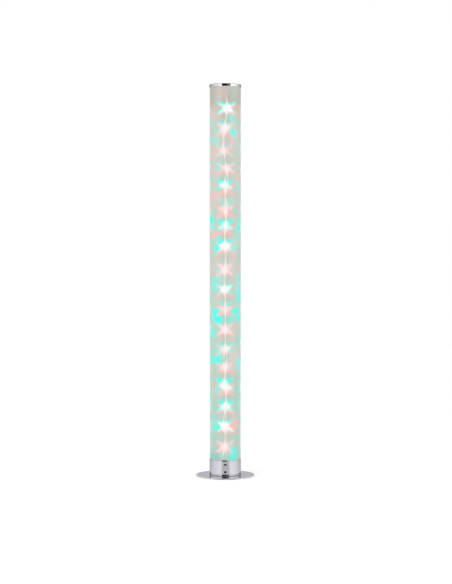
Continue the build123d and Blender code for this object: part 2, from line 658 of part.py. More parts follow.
def strip_lead():
    """Four-core ribbon from the controller's end slot up past the seat's socket to a strip."""
    inside = CASE_LENGTH / 2 - CASE_WALL - LEAD_END
    out_x = CASE_LENGTH / 2 + RIBBON_BEND
    lean_x = (out_x + SPINE_WIDTH / 2) / 2
    on_strip = SPINE_WIDTH / 2 - SPINE_GROOVE_DEPTH + STRIP_THICKNESS + RIBBON_THICKNESS / 2
    socket_top = FLANGE_TOP + SOCKET_HEIGHT
    route = [
        (inside, 0, SLOT_MIDDLE),
        (out_x, 0, SLOT_MIDDLE),
        (out_x, 0, FLANGE_TOP),
        (lean_x, 0, socket_top - RIBBON_BEND),
        (on_strip, 0, socket_top + 3 * RIBBON_BEND),
        (on_strip, 0, socket_top + 6 * RIBBON_BEND),
    ]
    return ribbon(route, 4, (0, 1, 0))


NODES = {
    "floor_pad": floor_pad,
    "base_plate": base_plate,
    "plate_screws": plate_screws,
    "base_cup": base_cup,
    "ballast": ballast,
    "lower_holder": lower_holder,
    "holder_screws": holder_screws,
    "spine_screws": spine_screws,
    "diffuser_tube": diffuser_tube,
    "star_film": star_film,
    "led_spine": led_spine,
    "cap_insert": cap_insert,
    "top_cap": top_cap,
    "controller_case_lower": controller_case_lower,
    "controller_case_upper": controller_case_upper,
    "controller_board": controller_board,
    "board_components": board_components,
    "ir_eye": ir_eye,
    "ir_receiver": ir_receiver,
    "ir_board": ir_board,
    "ir_lead": ir_lead,
    "dc_jack": dc_jack,
    "jack_pin": jack_pin,
    "power_lead": power_lead,
    "strip_lead": strip_lead,
}


def main():
    os.makedirs("parts", exist_ok=True)
    for name, make in NODES.items():
        export_step(make(), f"parts/{name}.step")
    for side, angle in SIDES.items():
        export_step(led_strip(angle), f"parts/led_strip_{side}.step")
        export_step(led_row(angle), f"parts/leds_{side}.step")


main()
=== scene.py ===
"""Looks of the corner floor lamp: a lit star-film column on a chromed cup and disc, under a chromed cap."""
import logging
import math
from dataclasses import dataclass, replace
from enum import Enum

import bpy
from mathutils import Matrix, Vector


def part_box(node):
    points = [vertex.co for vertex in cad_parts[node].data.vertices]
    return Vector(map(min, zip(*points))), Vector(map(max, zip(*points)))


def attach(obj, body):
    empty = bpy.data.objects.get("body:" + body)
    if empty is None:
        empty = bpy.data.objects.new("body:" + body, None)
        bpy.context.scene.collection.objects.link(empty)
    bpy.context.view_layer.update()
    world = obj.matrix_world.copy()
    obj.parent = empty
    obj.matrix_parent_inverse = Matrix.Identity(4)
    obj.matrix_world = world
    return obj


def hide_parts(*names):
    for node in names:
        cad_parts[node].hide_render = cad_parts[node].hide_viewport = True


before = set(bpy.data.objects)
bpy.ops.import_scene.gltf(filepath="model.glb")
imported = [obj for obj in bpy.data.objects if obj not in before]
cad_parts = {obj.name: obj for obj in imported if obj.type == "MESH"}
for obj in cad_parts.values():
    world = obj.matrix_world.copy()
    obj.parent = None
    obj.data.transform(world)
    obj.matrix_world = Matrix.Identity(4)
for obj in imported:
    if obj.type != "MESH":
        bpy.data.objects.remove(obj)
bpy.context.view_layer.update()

LOG = logging.getLogger("corner_floor_lamp")

MM = 0.001
BODY = "root"
WHITE = "#FFFFFF"
BLACK = "#000000"

# Flats round a turned piece, round the eye and the oval plate, and round a drilled hole.
SIDES = 192
SMALL_SIDES = 64
DRILL_SIDES = 48
SMOOTH_ANGLE = math.radians(30)
# Points that are nearer to each other than this, in metres, are one.
WELD = 1e-6

# Nearly all of a noise texture lies between these levels.
NOISE_RANGE = (0.3, 0.7)

Station = tuple[float, float]
Stop = tuple[float, str]
Socket = bpy.types.NodeSocket


def linear(colour: str) -> tuple[float, float, float, float]:
    """Turns an sRGB hex colour into the linear one that a shader takes.

    Args:
        colour: Six hex digits after a hash sign.

    Returns:
        Red, green, blue and an alpha of 1.
    """
    channels = [int(colour[i:i + 2], 16) / 255 for i in (1, 3, 5)]
    straight = [c / 12.92 if c <= 0.04045 else ((c + 0.055) / 1.055) ** 2.4 for c in channels]
    return (*straight, 1.0)


def per_mm(size_mm: float) -> float:
    """Gives the texture scale whose features are so many millimetres wide."""
    return 1.0 / (size_mm * MM)


class NodeSheet:
    """A node tree, the one function that adds to it, and the bearings that its patterns read."""

    def __init__(self, tree: bpy.types.NodeTree, reads: str = "Object") -> None:
        """Keeps the tree, and finds the place or the direction that its patterns read."""
        self.tree = tree
        self.place = self.add("TexCoord", output=reads)

    def add(self, kind: str, inputs: dict[int | str, object] | None = None, output: int | str = 0,
            into: Socket | None = None, stops: list[Stop] | None = None, **settings: object) -> Socket:
        """Adds a node with its settings and links.

        A map range reads between the levels at inputs 1 and 2, and gives inputs 3 and 4 there, or 0 and 1. In
        a mix of colours, input 0 is the share of the second, 6 and 7 are the two, and output 2 is the result.

        Args:
            kind: Blender's name for the node's type, without its prefix.
            inputs: A value, or an output to link, for each input by name or place.
            output: The output that the caller goes on with.
            into: An input that this output is linked to.
            stops: For a colour ramp, a place from 0 to 1 and a hex colour for each stop, in order.
            **settings: Properties of the node itself, or of its ramp.

        Returns:
            The output.
        """
        made = self.tree.nodes.new(f"ShaderNode{kind}")
        holder = made.color_ramp if stops else made
        for name, value in settings.items():
            setattr(holder, name, value)
        for i, (place, colour) in enumerate(stops or []):
            # A new ramp already has two stops.
            element = holder.elements[i] if i < 2 else holder.elements.new(1.0)
            element.position = place
            element.color = linear(colour)
        for key, value in (inputs or {}).items():
            if isinstance(value, Socket):
                self.tree.links.new(value, made.inputs[key])
            else:
                made.inputs[key].default_value = value
        if into is not None:
            self.tree.links.new(made.outputs[output], into)
        return made.outputs[output]

    def heading(self) -> Socket:
        """Finds the angle round the lamp's axis.

        Returns:
            Radians from the front, above 0 to the right and below 0 to the left.
        """
        x, y = (self.add("SeparateXYZ", {0: self.place}, axis) for axis in "XY")
        back = self.add("Math", {0: y, 1: -1.0}, operation="MULTIPLY")
        return self.add("Math", {0: x, 1: back}, operation="ARCTAN2")

    def share_of_turn(self) -> Socket:
        """Gives the heading as a share of a turn that starts at the back and runs by the left."""
        return self.add("MapRange", {"Value": self.heading(), 1: -math.pi, 2: math.pi})


@dataclass(frozen=True)
class Finish:
    """What every finish has: a name in a maker's words and the plain values of its surface."""

    name: str
    colour: str
    roughness: float
    metallic: float = 0.0
    ior: float = 1.5

    def material(self) -> bpy.types.Material:
        """Builds the finish.

        Returns:
            A node material that is named for the real one.
        """
        made = bpy.data.materials.get(self.name)
        if made:
            return made
        made = bpy.data.materials.new(self.name)
        made.use_nodes = True
        shader = made.node_tree.nodes["Principled BSDF"]
        shader.inputs["Base Color"].default_value = linear(self.colour)
        shader.inputs["Roughness"].default_value = self.roughness
        shader.inputs["Metallic"].default_value = self.metallic
        shader.inputs["IOR"].default_value = self.ior
        self.detail(NodeSheet(made.node_tree), shader.inputs)
        return made

    def detail(self, sheet: NodeSheet, surface: bpy.types.NodeInputs) -> None:
        """Adds what varies over the surface; each kind of finish has its own.

        Args:
            sheet: The material's node sheet.
            surface: The inputs of its principled shader.
        """
        raise NotImplementedError


@dataclass(frozen=True)
class ChromePlate(Finish):
    """Bright chromium over pressed steel: a mirror that bends lines a little where the sheet is uneven."""

    wave_mm: float = 18.0
    wave_depth_mm: float = 0.004
    haze_mm: float = 9.0
    clearest: float = 0.5
    dullest: float = 1.6

    def detail(self, sheet: NodeSheet, surface: bpy.types.NodeInputs) -> None:
        """Adds the sheet's slow waves, and wipe marks that leave the mirror clearer here and duller there.

        Args:
            sheet: The material's node sheet.
            surface: The inputs of its principled shader.
        """
        haze = sheet.add("TexNoise", {"Vector": sheet.place, "Scale": per_mm(self.haze_mm), "Detail": 3.0})
        sheet.add("MapRange", {"Value": haze, 1: NOISE_RANGE[0], 2: NOISE_RANGE[1],
                               3: self.roughness * self.clearest, 4: self.roughness * self.dullest},
                  into=surface["Roughness"])
        wave = sheet.add("TexNoise", {"Vector": sheet.place, "Scale": per_mm(self.wave_mm), "Detail": 1.0})
        sheet.add("Bump", {"Height": wave, "Distance": self.wave_depth_mm * MM}, into=surface["Normal"])


@dataclass(frozen=True)
class ClosedCellFoam(Finish):
    """Cut sheet of closed-cell foam: matt, with cut cells all over."""

    # The colour painted at the cells' walls; each pit shades from it down to the base colour as painted
    # shade.
    wall: str = "#3A3A3D"
    cell_mm: float = 0.6
    cell_depth_mm: float = 0.1

    def detail(self, sheet: NodeSheet, surface: bpy.types.NodeInputs) -> None:
        """Adds the cut cells as small pits, with painted shade that darkens each pit towards its middle and
        leaves the walls paler.

        Args:
            sheet: The material's node sheet.
            surface: The inputs of its principled shader.
        """
        cells = sheet.add("TexVoronoi", {"Vector": sheet.place, "Scale": per_mm(self.cell_mm)})
        # Painted shade: each pit darkens towards its middle, in step with its depth.
        sheet.add("Mix", {0: cells, 6: linear(self.colour), 7: linear(self.wall)}, 2,
                  surface["Base Color"], data_type="RGBA")
        sheet.add("Bump", {"Height": cells, "Distance": self.cell_depth_mm * MM}, into=surface["Normal"])


@dataclass(frozen=True)
class AnodisedExtrusion(Finish):
    """Natural anodised aluminium extrusion: satin, with die lines along its length."""

    line_colour: str = "#AEB0B2"
    line_mm: float = 0.5
    line_depth_mm: float = 0.01
    length_scale: float = 0.01

    def detail(self, sheet: NodeSheet, surface: bpy.types.NodeInputs) -> None:
        """Adds the die lines, which are long in Z and narrow across.

        Args:
            sheet: The material's node sheet.
            surface: The inputs of its principled shader.
        """
        drawn = sheet.add("Mapping", {"Vector": sheet.place, "Scale": (1.0, 1.0, self.length_scale)})
        lines = sheet.add("TexNoise", {"Vector": drawn, "Scale": per_mm(self.line_mm)})
        sheet.add("Mix", {0: lines, 6: linear(self.line_colour), 7: linear(self.colour)}, 2,
                  surface["Base Color"], data_type="RGBA")
        sheet.add("Bump", {"Height": lines, "Distance": self.line_depth_mm * MM}, into=surface["Normal"])


@dataclass(frozen=True)
class SolderMask(Finish):
    """Printed circuit board under solder mask: glossy, its copper tracks a shade lighter and proud."""

    track: str = WHITE
    track_pitch_mm: float = 2.4
    track_edge: tuple[float, float] = (0.45, 0.55)
    track_wander: float = 1.5
    copper_mm: float = 0.035

    def detail(self, sheet: NodeSheet, surface: bpy.types.NodeInputs) -> None:
        """Adds the tracks as raised bands that cross the board aslant and wander a little.

        Args:
            sheet: The material's node sheet.
            surface: The inputs of its principled shader.
        """
        # At a scale of 1, a diagonal wave turns so far in a metre of a face that is square to an axis.
        radians_per_metre = 10 * math.sqrt(2)
        bands = sheet.add("TexWave", {"Vector": sheet.place, "Distortion": self.track_wander,
                                      "Scale": per_mm(self.track_pitch_mm) * math.tau / radians_per_metre},
                          "Fac", bands_direction="DIAGONAL")
        track = sheet.add("MapRange", {"Value": bands, 1: self.track_edge[0], 2: self.track_edge[1]})
        sheet.add("Mix", {0: track, 6: linear(self.colour), 7: linear(self.track)}, 2,
                  surface["Base Color"], data_type="RGBA")
        sheet.add("Bump", {"Height": track, "Distance": self.copper_mm * MM}, into=surface["Normal"])


@dataclass(frozen=True)
class LightPackage(Finish):
    """White moulded light package: its well is filled with clear resin, slightly yellowed."""

    yellow: str = "#F4ECD2"
    patch_mm: float = 2.0
    coat: float = 0.6
    coat_roughness: float = 0.08

    def detail(self, sheet: NodeSheet, surface: bpy.types.NodeInputs) -> None:
        """Adds the resin's yellowing and its clear skin.

        Args:
            sheet: The material's node sheet.
            surface: The inputs of its principled shader.
        """
        patch = sheet.add("TexNoise", {"Vector": sheet.place, "Scale": per_mm(self.patch_mm)})
        sheet.add("Mix", {0: patch, 6: linear(self.colour), 7: linear(self.yellow)}, 2,
                  surface["Base Color"], data_type="RGBA")
        surface["Coat Weight"].default_value = self.coat
        surface["Coat Roughness"].default_value = self.coat_roughness


@dataclass(frozen=True)
class NickelPlate(Finish):
    """Nickel over turned brass: a warm, soft mirror with turning marks."""

    mark_mm: float = 0.2
    mark_depth_mm: float = 0.003
    round_scale: float = 0.05

    def detail(self, sheet: NodeSheet, surface: bpy.types.NodeInputs) -> None:
        """Adds the turning marks, which go round the pin and follow one another along it.

        Args:
            sheet: The material's node sheet.
            surface: The inputs of its principled shader.
        """
        scale = (self.round_scale, 1.0, self.round_scale)
        turned = sheet.add("Mapping", {"Vector": sheet.place, "Scale": scale})
        marks = sheet.add("TexNoise", {"Vector": turned, "Scale": per_mm(self.mark_mm)})
        sheet.add("Bump", {"Height": marks, "Distance": self.mark_depth_mm * MM}, into=surface["Normal"])


@dataclass(frozen=True)
class MottledFinish(Finish):
    """A surface whose colour turns to another in soft patches, over a relief of its own.

    A patch comes in between the two levels of a noise that its spread names.
    """

    other: str = BLACK
    patch_mm: float = 5.0
    spread: tuple[float, float] = NOISE_RANGE
    relief_mm: float = 0.5
    relief_depth_mm: float = 0.01
    relief_detail: float = 2.0

    def detail(self, sheet: NodeSheet, surface: bpy.types.NodeInputs) -> None:
        """Adds the patches and the relief.

        Args:
            sheet: The material's node sheet.
            surface: The inputs of its principled shader.
        """
        patch = sheet.add("TexNoise", {"Vector": sheet.place, "Scale": per_mm(self.patch_mm)})
        share = sheet.add("MapRange", {"Value": patch, 1: self.spread[0], 2: self.spread[1]})
        sheet.add("Mix", {0: share, 6: linear(self.colour), 7: linear(self.other)}, 2,
                  surface["Base Color"], data_type="RGBA")
        relief = sheet.add("TexNoise", {"Vector": sheet.place, "Scale": per_mm(self.relief_mm),
                                        "Detail": self.relief_detail})
        sheet.add("Bump", {"Height": relief, "Distance": self.relief_depth_mm * MM}, into=surface["Normal"])


@dataclass(frozen=True)
class SandCasting(MottledFinish):
    """Grey iron cast in sand and dipped in black paint: a coarse skin under a dull film with thin places."""

    other: str = "#4A4A4C"
    patch_mm: float = 7.0
    spread: tuple[float, float] = (0.4, 0.7)
    relief_mm: float = 0.9
    relief_depth_mm: float = 0.18
    relief_detail: float = 6.0


@dataclass(frozen=True)
class ZincPlate(MottledFinish):
    """Zinc-plated steel: silvery, half dull and finely etched, a little blue here and yellow there."""

    other: str = "#CFCBBB"
    patch_mm: float = 2.5
    spread: tuple[float, float] = (0.35, 0.65)
    relief_mm: float = 0.25
    relief_depth_mm: float = 0.006


@dataclass(frozen=True)
class MouldedPlastic(MottledFinish):
    """Moulded plastic: faint flow clouds, under a spark-eroded skin whose fine pebble softens the shine."""

    other: str = "#303033"
    patch_mm: float = 14.0
    relief_mm: float = 0.35
    relief_depth_mm: float = 0.02


@dataclass(frozen=True)
class SmokedWindow(MottledFinish):
    """Smoked polycarbonate that only infrared passes: black and glossy, with a red depth and a faint sink."""

    other: str = "#1C0B0B"
    patch_mm: float = 2.0
    spread: tuple[float, float] = (0.4, 0.8)
    relief_mm: float = 3.0
    relief_detail: float = 0.0


@dataclass(frozen=True)
class WireSheath(MottledFinish):
    """Soft sheath of a ribbon of wires: satin, a little uneven in its colour and in its skin."""

    other: str = "#2A2A2E"
    patch_mm: float = 1.3
    spread: tuple[float, float] = (0.0, 1.0)
    relief_mm: float = 1.3
    relief_depth_mm: float = 0.03


class Tone(Enum):
    """How strongly one layer of stars shows over a light, as a grey level."""

    FULL = "#FFFFFF"
    HALF = "#BFBFBF"
    FAINT = "#6A6A6A"


@dataclass(frozen=True)
class StarLayer:
    """One colour's layer of stars.

    It sits some way above the lights, its stars wander a little, and each light shows it in its own tone,
    from the lowest light up.
    """

    lift_mm: float
    lift_spread_mm: float
    wander_mm: float
    seed: float
    faintest_arm: float
    tones: tuple[Tone, ...]


PINK_LAYER = StarLayer(
    lift_mm=0.0, lift_spread_mm=12.0, wander_mm=13.0, seed=1.0, faintest_arm=0.6,
    tones=(
        Tone.FULL, Tone.FULL, Tone.HALF, Tone.FULL, Tone.FULL, Tone.HALF, Tone.FULL, Tone.FULL, Tone.HALF,
        Tone.FULL, Tone.FULL, Tone.HALF, Tone.FULL, Tone.HALF, Tone.FULL, Tone.HALF, Tone.FULL, Tone.FULL,
    ),
)
TURQUOISE_LAYER = StarLayer(
    lift_mm=11.0, lift_spread_mm=16.0, wander_mm=15.0, seed=2.0, faintest_arm=0.3,
    tones=(
        Tone.FAINT, Tone.FULL, Tone.FULL, Tone.FULL, Tone.FAINT, Tone.HALF, Tone.FAINT, Tone.FAINT, Tone.FULL,
        Tone.FAINT, Tone.FULL, Tone.FULL, Tone.FAINT, Tone.FULL, Tone.FAINT, Tone.FAINT, Tone.HALF, Tone.FULL,
    ),
)


@dataclass(frozen=True)
class Tint:
    """A colour that comes and goes with a noise.

    It starts at one level of the noise, and is at its most at another.
    """

    colour: str
    start: float
    full: float
    most: float
    seed: float = 0.0


@dataclass(frozen=True)
class LitStarFilm(Finish):
    """Star-effect film behind acrylic, lit from inside: each light shows a pink and a turquoise star.

    The film's lines cross at about sixty degrees, so that a light is drawn out into six rays: four broad
    soft arms and a thin upright line. Between the stars the film is a pale ground of beige, mint and rose,
    clouded with the colours of the lights beside. A column of lights faces each of the four sides. Of a pair
    of sizes, the first is where a thing starts to grow, and the second is where it is full.
    """

    # The colours.
    turquoise: Tint = Tint("#2AFFEE", start=0.44, full=0.68, most=0.95, seed=5.0)
    pink: Tint = Tint("#FFBCBB", start=0.5, full=0.74, most=0.6, seed=3.0)
    mint: Tint = Tint("#A6D6C2", start=0.4, full=0.62, most=0.45)
    rose: Tint = Tint("#D6C2BA", start=0.48, full=0.68, most=0.55)
    streak: Tint = Tint("#E9E4E4", start=0.3, full=0.7, most=0.16)
    cream: str = "#FCF0E6"
    glow: float = 0.62
    coat: float = 0.2
    coat_roughness: float = 0.3
    # The column's outside, and the columns and rows of lights in it.
    radius_mm: float = 40.0
    sides: int = 4
    rows: int = 18
    first_mm: float = 77.0
    pitch_mm: float = 50.6
    drift_mm: float = 90.0
    tone_shift: float = 5.0
    side_share: float = 0.45
    # A star: its four arms, its upright line, its soft body and its core.
    arm_angle: float = math.radians(31)
    arm_mm: tuple[float, float] = (37.0, 22.2)
    arm_width_mm: tuple[float, float] = (14.0, 3.5)
    arm_taper: float = 0.27
    arm_patch_mm: float = 13.0
    arm_patch_levels: tuple[float, float] = (0.3, 0.52)
    thinnest_arm: float = 0.25
    line_mm: tuple[float, float] = (50.0, 12.5)
    line_width_mm: tuple[float, float] = (3.8, 0.95)
    line_taper: float = 0.065
    line_most: float = 0.85
    body_mm: tuple[float, float] = (18.0, 7.2)
    core_mm: tuple[float, float] = (14.0, 0.0)
    pink_core: float = 0.5
    # The clouds between the columns of lights.
    cloud_mm: float = 46.0
    cloud_aside_mm: tuple[float, float] = (4.2, 15.4)
    cloud_in_front: float = 0.3
    cloud_below_top_mm: tuple[float, float] = (22.0, 50.0)
    # The ground between the stars.
    ground_mm: float = 42.0
    ground_length_scale: float = 0.6
    streak_mm: float = 2.2
    streak_length_scale: float = 0.02
    ground: tuple[Stop, ...] = (
        (0.04, "#7CC7B5"), (0.055, "#7CC7B5"), (0.075, "#A8CDBE"), (0.2, "#B0CABC"), (0.45, "#BCCABD"),
        (0.85, "#C2CBBF"), (0.93, "#C0C3B6"), (0.96, "#B7AD9F"),
    )

    def detail(self, sheet: NodeSheet, surface: bpy.types.NodeInputs) -> None:
        """Adds the ground, the clouds and the two layers of stars.

        Args:
            sheet: The material's node sheet.
            surface: The inputs of its principled shader.
        """
        around, height, column = self.unrolled(sheet)
        pink, pink_core, pink_line = self.stars(sheet, around, height, column, PINK_LAYER)
        turquoise, turquoise_core, turquoise_line = self.stars(sheet, around, height, column, TURQUOISE_LAYER)
        pink_core = sheet.add("Math", {0: pink_core, 1: self.pink_core}, operation="MULTIPLY")
        line = sheet.add("Math", {0: pink_line, 1: turquoise_line}, operation="MAXIMUM")
        core = sheet.add("Math", {0: pink_core, 1: turquoise_core}, operation="MAXIMUM")
        pink_cloud = self.cloud(sheet, around, height, self.pink)
        turquoise_cloud = self.cloud(sheet, around, height, self.turquoise)
        lit = sheet.add("Math", {0: turquoise, 1: turquoise_cloud}, operation="MAXIMUM")
        pink_colour, turquoise_colour = linear(self.pink.colour), linear(self.turquoise.colour)
        both = sheet.add("Mix", {0: turquoise, 6: pink_colour, 7: linear(WHITE)}, 2, data_type="RGBA")
        colour = self.pale_ground(sheet, height)
        for share, shown in ((pink_cloud, pink_colour), (lit, turquoise_colour), (pink, both),
                             (line, linear(self.cream)), (core, linear(WHITE))):
            colour = sheet.add("Mix", {0: share, 6: colour, 7: shown}, 2, data_type="RGBA")
        # The film's light is split: a share glows, and the rest is painted into the colour that the surface
        # reflects, so that a colour renders about as it is written.
        sheet.add("Mix", {0: 1.0 - self.glow, 6: linear(BLACK), 7: colour}, 2,
                  surface["Base Color"], data_type="RGBA")
        sheet.tree.links.new(colour, surface["Emission Color"])
        surface["Emission Strength"].default_value = self.glow
        surface["Coat Weight"].default_value = self.coat
        surface["Coat Roughness"].default_value = self.coat_roughness

    def unrolled(self, sheet: NodeSheet) -> tuple[Socket, Socket, Socket]:
        """Unrolls the column, so that its film lies flat.

        Args:
            sheet: The material's node sheet.

        Returns:
            Millimetres round from the nearest column of lights, millimetres up, and which column it is.
        """
        angle = sheet.heading()
        half_side = math.pi / self.sides
        near = sheet.add("Math", {0: angle, 1: half_side, 2: -half_side}, operation="WRAP")
        around = sheet.add("Math", {0: near, 1: self.radius_mm}, operation="MULTIPLY")
        z = sheet.add("SeparateXYZ", {0: sheet.place}, "Z")
        height = sheet.add("Math", {0: z, 1: 1 / MM}, operation="MULTIPLY")
        passed = sheet.add("Math", {0: angle, 1: self.sides / math.tau}, operation="MULTIPLY")
        column = sheet.add("Math", {0: passed}, operation="ROUND")
        column = sheet.add("Math", {0: column, 1: float(self.sides)}, operation="FLOORED_MODULO")
        return around, height, column

    def stars(self, sheet: NodeSheet, around: Socket, height: Socket, column: Socket,
              layer: StarLayer) -> tuple[Socket, ...]:
        """Draws one layer of stars.

        Args:
            sheet: The material's node sheet.
            around: Millimetres round from the nearest column of lights.
            height: Millimetres up.
            column: Which column of lights is nearest.
            layer: The layer's place, its wander and its tones.

        Returns:
            How much a point is in a star, in a star's core and in a star's upright line.
        """
        side, row, rise = self.nearest(sheet, around, height, column, layer)
        spot = sheet.add("CombineXYZ", {0: side, 1: rise})
        reach = sheet.add("VectorMath", {0: spot}, "Value", operation="LENGTH")
        folded = sheet.add("VectorMath", {0: spot}, operation="ABSOLUTE")
        tone = self.tone(sheet, row, column, layer)
        arms = self.arms(sheet, folded, tone, layer)
        body = sheet.add("MapRange", {"Value": reach, 1: self.body_mm[0], 2: self.body_mm[1], 4: tone},
                         interpolation_type="SMOOTHSTEP")
        star = sheet.add("Math", {0: arms, 1: body}, operation="MAXIMUM")
        core = sheet.add("MapRange", {"Value": reach, 1: self.core_mm[0], 2: self.core_mm[1], 4: tone},
                         interpolation_type="SMOOTHSTEP")
        sideways = sheet.add("Math", {0: column, 1: 2.0}, operation="MODULO")
        facing = sheet.add("MapRange", {"Value": sideways, 3: 1.0, 4: self.side_share})
        return tuple(sheet.add("Math", {0: light, 1: facing}, operation="MULTIPLY")
                     for light in (star, core, self.upright(sheet, folded)))

    def nearest(self, sheet: NodeSheet, around: Socket, height: Socket, column: Socket,
                layer: StarLayer) -> tuple[Socket, Socket, Socket]:
        """Finds the star nearest to a point.

        Args:
            sheet: The material's node sheet.
            around: Millimetres round from the nearest column of lights.
            height: Millimetres up.
            column: Which column of lights is nearest.
            layer: The layer's place and its wander.

        Returns:
            Millimetres aside from the star, which light it belongs to, and millimetres above the star.
        """
        lane = sheet.add("CombineXYZ", {0: column, 1: layer.seed})
        along = sheet.add("CombineXYZ", {2: height})
        path = sheet.add("VectorMath", {0: along, 1: (0.0, 0.0, 1 / self.drift_mm), 2: lane},
                         operation="MULTIPLY_ADD")
        drift = sheet.add("TexNoise", {"Vector": path, "Scale": 1.0, "Detail": 0.0}, "Color")
        aside, lift = (sheet.add("SeparateColor", {0: drift}, i) for i in range(2))
        up = sheet.add("MapRange", {"Value": lift, 3: -layer.lift_mm - layer.lift_spread_mm,
                                    4: layer.lift_spread_mm - layer.lift_mm})
        aside = sheet.add("MapRange", {"Value": aside, 3: -layer.wander_mm, 4: layer.wander_mm})
        side = sheet.add("Math", {0: around, 1: aside}, operation="ADD")
        shifted = sheet.add("Math", {0: height, 1: up}, operation="ADD")
        steps = sheet.add("Math", {0: shifted, 1: 1 / self.pitch_mm, 2: -self.first_mm / self.pitch_mm},
                          operation="MULTIPLY_ADD")
        row = sheet.add("Math", {0: steps}, operation="ROUND")
        row = sheet.add("Clamp", {"Value": row, "Min": 0.0, "Max": self.rows - 1.0})
        share = sheet.add("Math", {0: steps, 1: row}, operation="SUBTRACT")
        return side, row, sheet.add("Math", {0: share, 1: self.pitch_mm}, operation="MULTIPLY")

    def tone(self, sheet: NodeSheet, row: Socket, column: Socket, layer: StarLayer) -> Socket:
        """Looks up a light's tone; each further side starts a few lights later in the layer's tones.

        Args:
            sheet: The material's node sheet.
            row: Which light it is, from the lowest up.
            column: Which column of lights it is in.
            layer: The layer.

        Returns:
            The tone, from 0 to 1.
        """
        moved = sheet.add("Math", {0: column, 1: self.tone_shift, 2: row}, operation="MULTIPLY_ADD")
        kept = sheet.add("Math", {0: moved, 1: float(self.rows)}, operation="FLOORED_MODULO")
        half_stop = 0.5 / self.rows
        share = sheet.add("Math", {0: kept, 1: 1 / self.rows, 2: half_stop}, operation="MULTIPLY_ADD")
        stops = [(i / self.rows, tone.value) for i, tone in enumerate(layer.tones)]
        return sheet.add("ValToRGB", {"Fac": share}, "Color", stops=stops, interpolation="CONSTANT")

    def arms(self, sheet: NodeSheet, folded: Socket, tone: Socket, layer: StarLayer) -> Socket:
        """Draws the four broad arms of a star, which come and go in soft patches.

        Args:
            sheet: The material's node sheet.
            folded: Millimetres beside the star and above or below it, without their signs.
            tone: The light's tone.
            layer: The star's layer.

        Returns:
            How much a point is in an arm.
        """
        cosine, sine = math.cos(self.arm_angle), math.sin(self.arm_angle)
        along = sheet.add("VectorMath", {0: folded, 1: (cosine, sine, 0)}, "Value", operation="DOT_PRODUCT")
        across = sheet.add("VectorMath", {0: folded, 1: (-sine, cosine, 0)}, "Value", operation="DOT_PRODUCT")
        across = sheet.add("Math", {0: across}, operation="ABSOLUTE")
        narrowed = sheet.add("Math", {0: along, 1: self.arm_taper, 2: across}, operation="MULTIPLY_ADD")
        breadth = sheet.add("MapRange", {"Value": narrowed, 1: self.arm_width_mm[0], 2: self.arm_width_mm[1]},
                            interpolation_type="SMOOTHSTEP")
        length = sheet.add("MapRange", {"Value": along, 1: self.arm_mm[0], 2: self.arm_mm[1]},
                           interpolation_type="SMOOTHSTEP")
        patch = sheet.add("TexNoise", {"Vector": sheet.place, "W": layer.seed,
                                       "Scale": per_mm(self.arm_patch_mm)}, noise_dimensions="4D")
        thickest = sheet.add("MapRange", {"Value": tone, 3: layer.faintest_arm})
        low, high = self.arm_patch_levels
        weight = sheet.add("MapRange", {"Value": patch, 1: low, 2: high, 3: self.thinnest_arm, 4: thickest})
        arms = sheet.add("Math", {0: breadth, 1: length}, operation="MULTIPLY")
        return sheet.add("Math", {0: arms, 1: weight}, operation="MULTIPLY")

    def upright(self, sheet: NodeSheet, folded: Socket) -> Socket:
        """Draws the thin upright line of a star.

        Args:
            sheet: The material's node sheet.
            folded: Millimetres beside the star and above or below it, without their signs.

        Returns:
            How much a point is in the line.
        """
        width, tall = (sheet.add("SeparateXYZ", {0: folded}, axis) for axis in "XY")
        width = sheet.add("Math", {0: tall, 1: self.line_taper, 2: width}, operation="MULTIPLY_ADD")
        thin = sheet.add("MapRange", {"Value": width, 1: self.line_width_mm[0], 2: self.line_width_mm[1]},
                         interpolation_type="SMOOTHSTEP")
        end, full = self.line_mm
        fade = sheet.add("MapRange", {"Value": tall, 1: end, 2: full, 4: self.line_most})
        return sheet.add("Math", {0: thin, 1: fade}, operation="MULTIPLY")

    def pale_ground(self, sheet: NodeSheet, height: Socket) -> Socket:
        """Colours the film between the stars: beige, with mint and rose patches and upright streaks.

        The streaks are the die lines of the extruded column. Real ones are too fine to show, so they are
        drawn wider.

        Args:
            sheet: The material's node sheet.
            height: Millimetres up.

        Returns:
            The colour.
        """
        level = sheet.add("Math", {0: height, 1: MM}, operation="MULTIPLY")
        ground = sheet.add("ValToRGB", {"Fac": level}, "Color", stops=list(self.ground))
        drawn = sheet.add("Mapping", {"Vector": sheet.place, "Scale": (1.0, 1.0, self.ground_length_scale)})
        patches = sheet.add("TexNoise", {"Vector": drawn, "Scale": per_mm(self.ground_mm), "Detail": 1.0},
                            "Color")
        green, red = (sheet.add("SeparateColor", {0: patches}, i) for i in range(2))
        upright = sheet.add("Mapping", {"Vector": sheet.place, "Scale": (1.0, 1.0, self.streak_length_scale)})
        lines = sheet.add("TexNoise", {"Vector": upright, "Scale": per_mm(self.streak_mm), "Detail": 1.0})
        for noise, tint in ((green, self.mint), (red, self.rose), (lines, self.streak)):
            share = sheet.add("MapRange", {"Value": noise, 1: tint.start, 2: tint.full, 4: tint.most})
            ground = sheet.add("Mix", {0: share, 6: ground, 7: linear(tint.colour)}, 2, data_type="RGBA")
        return ground

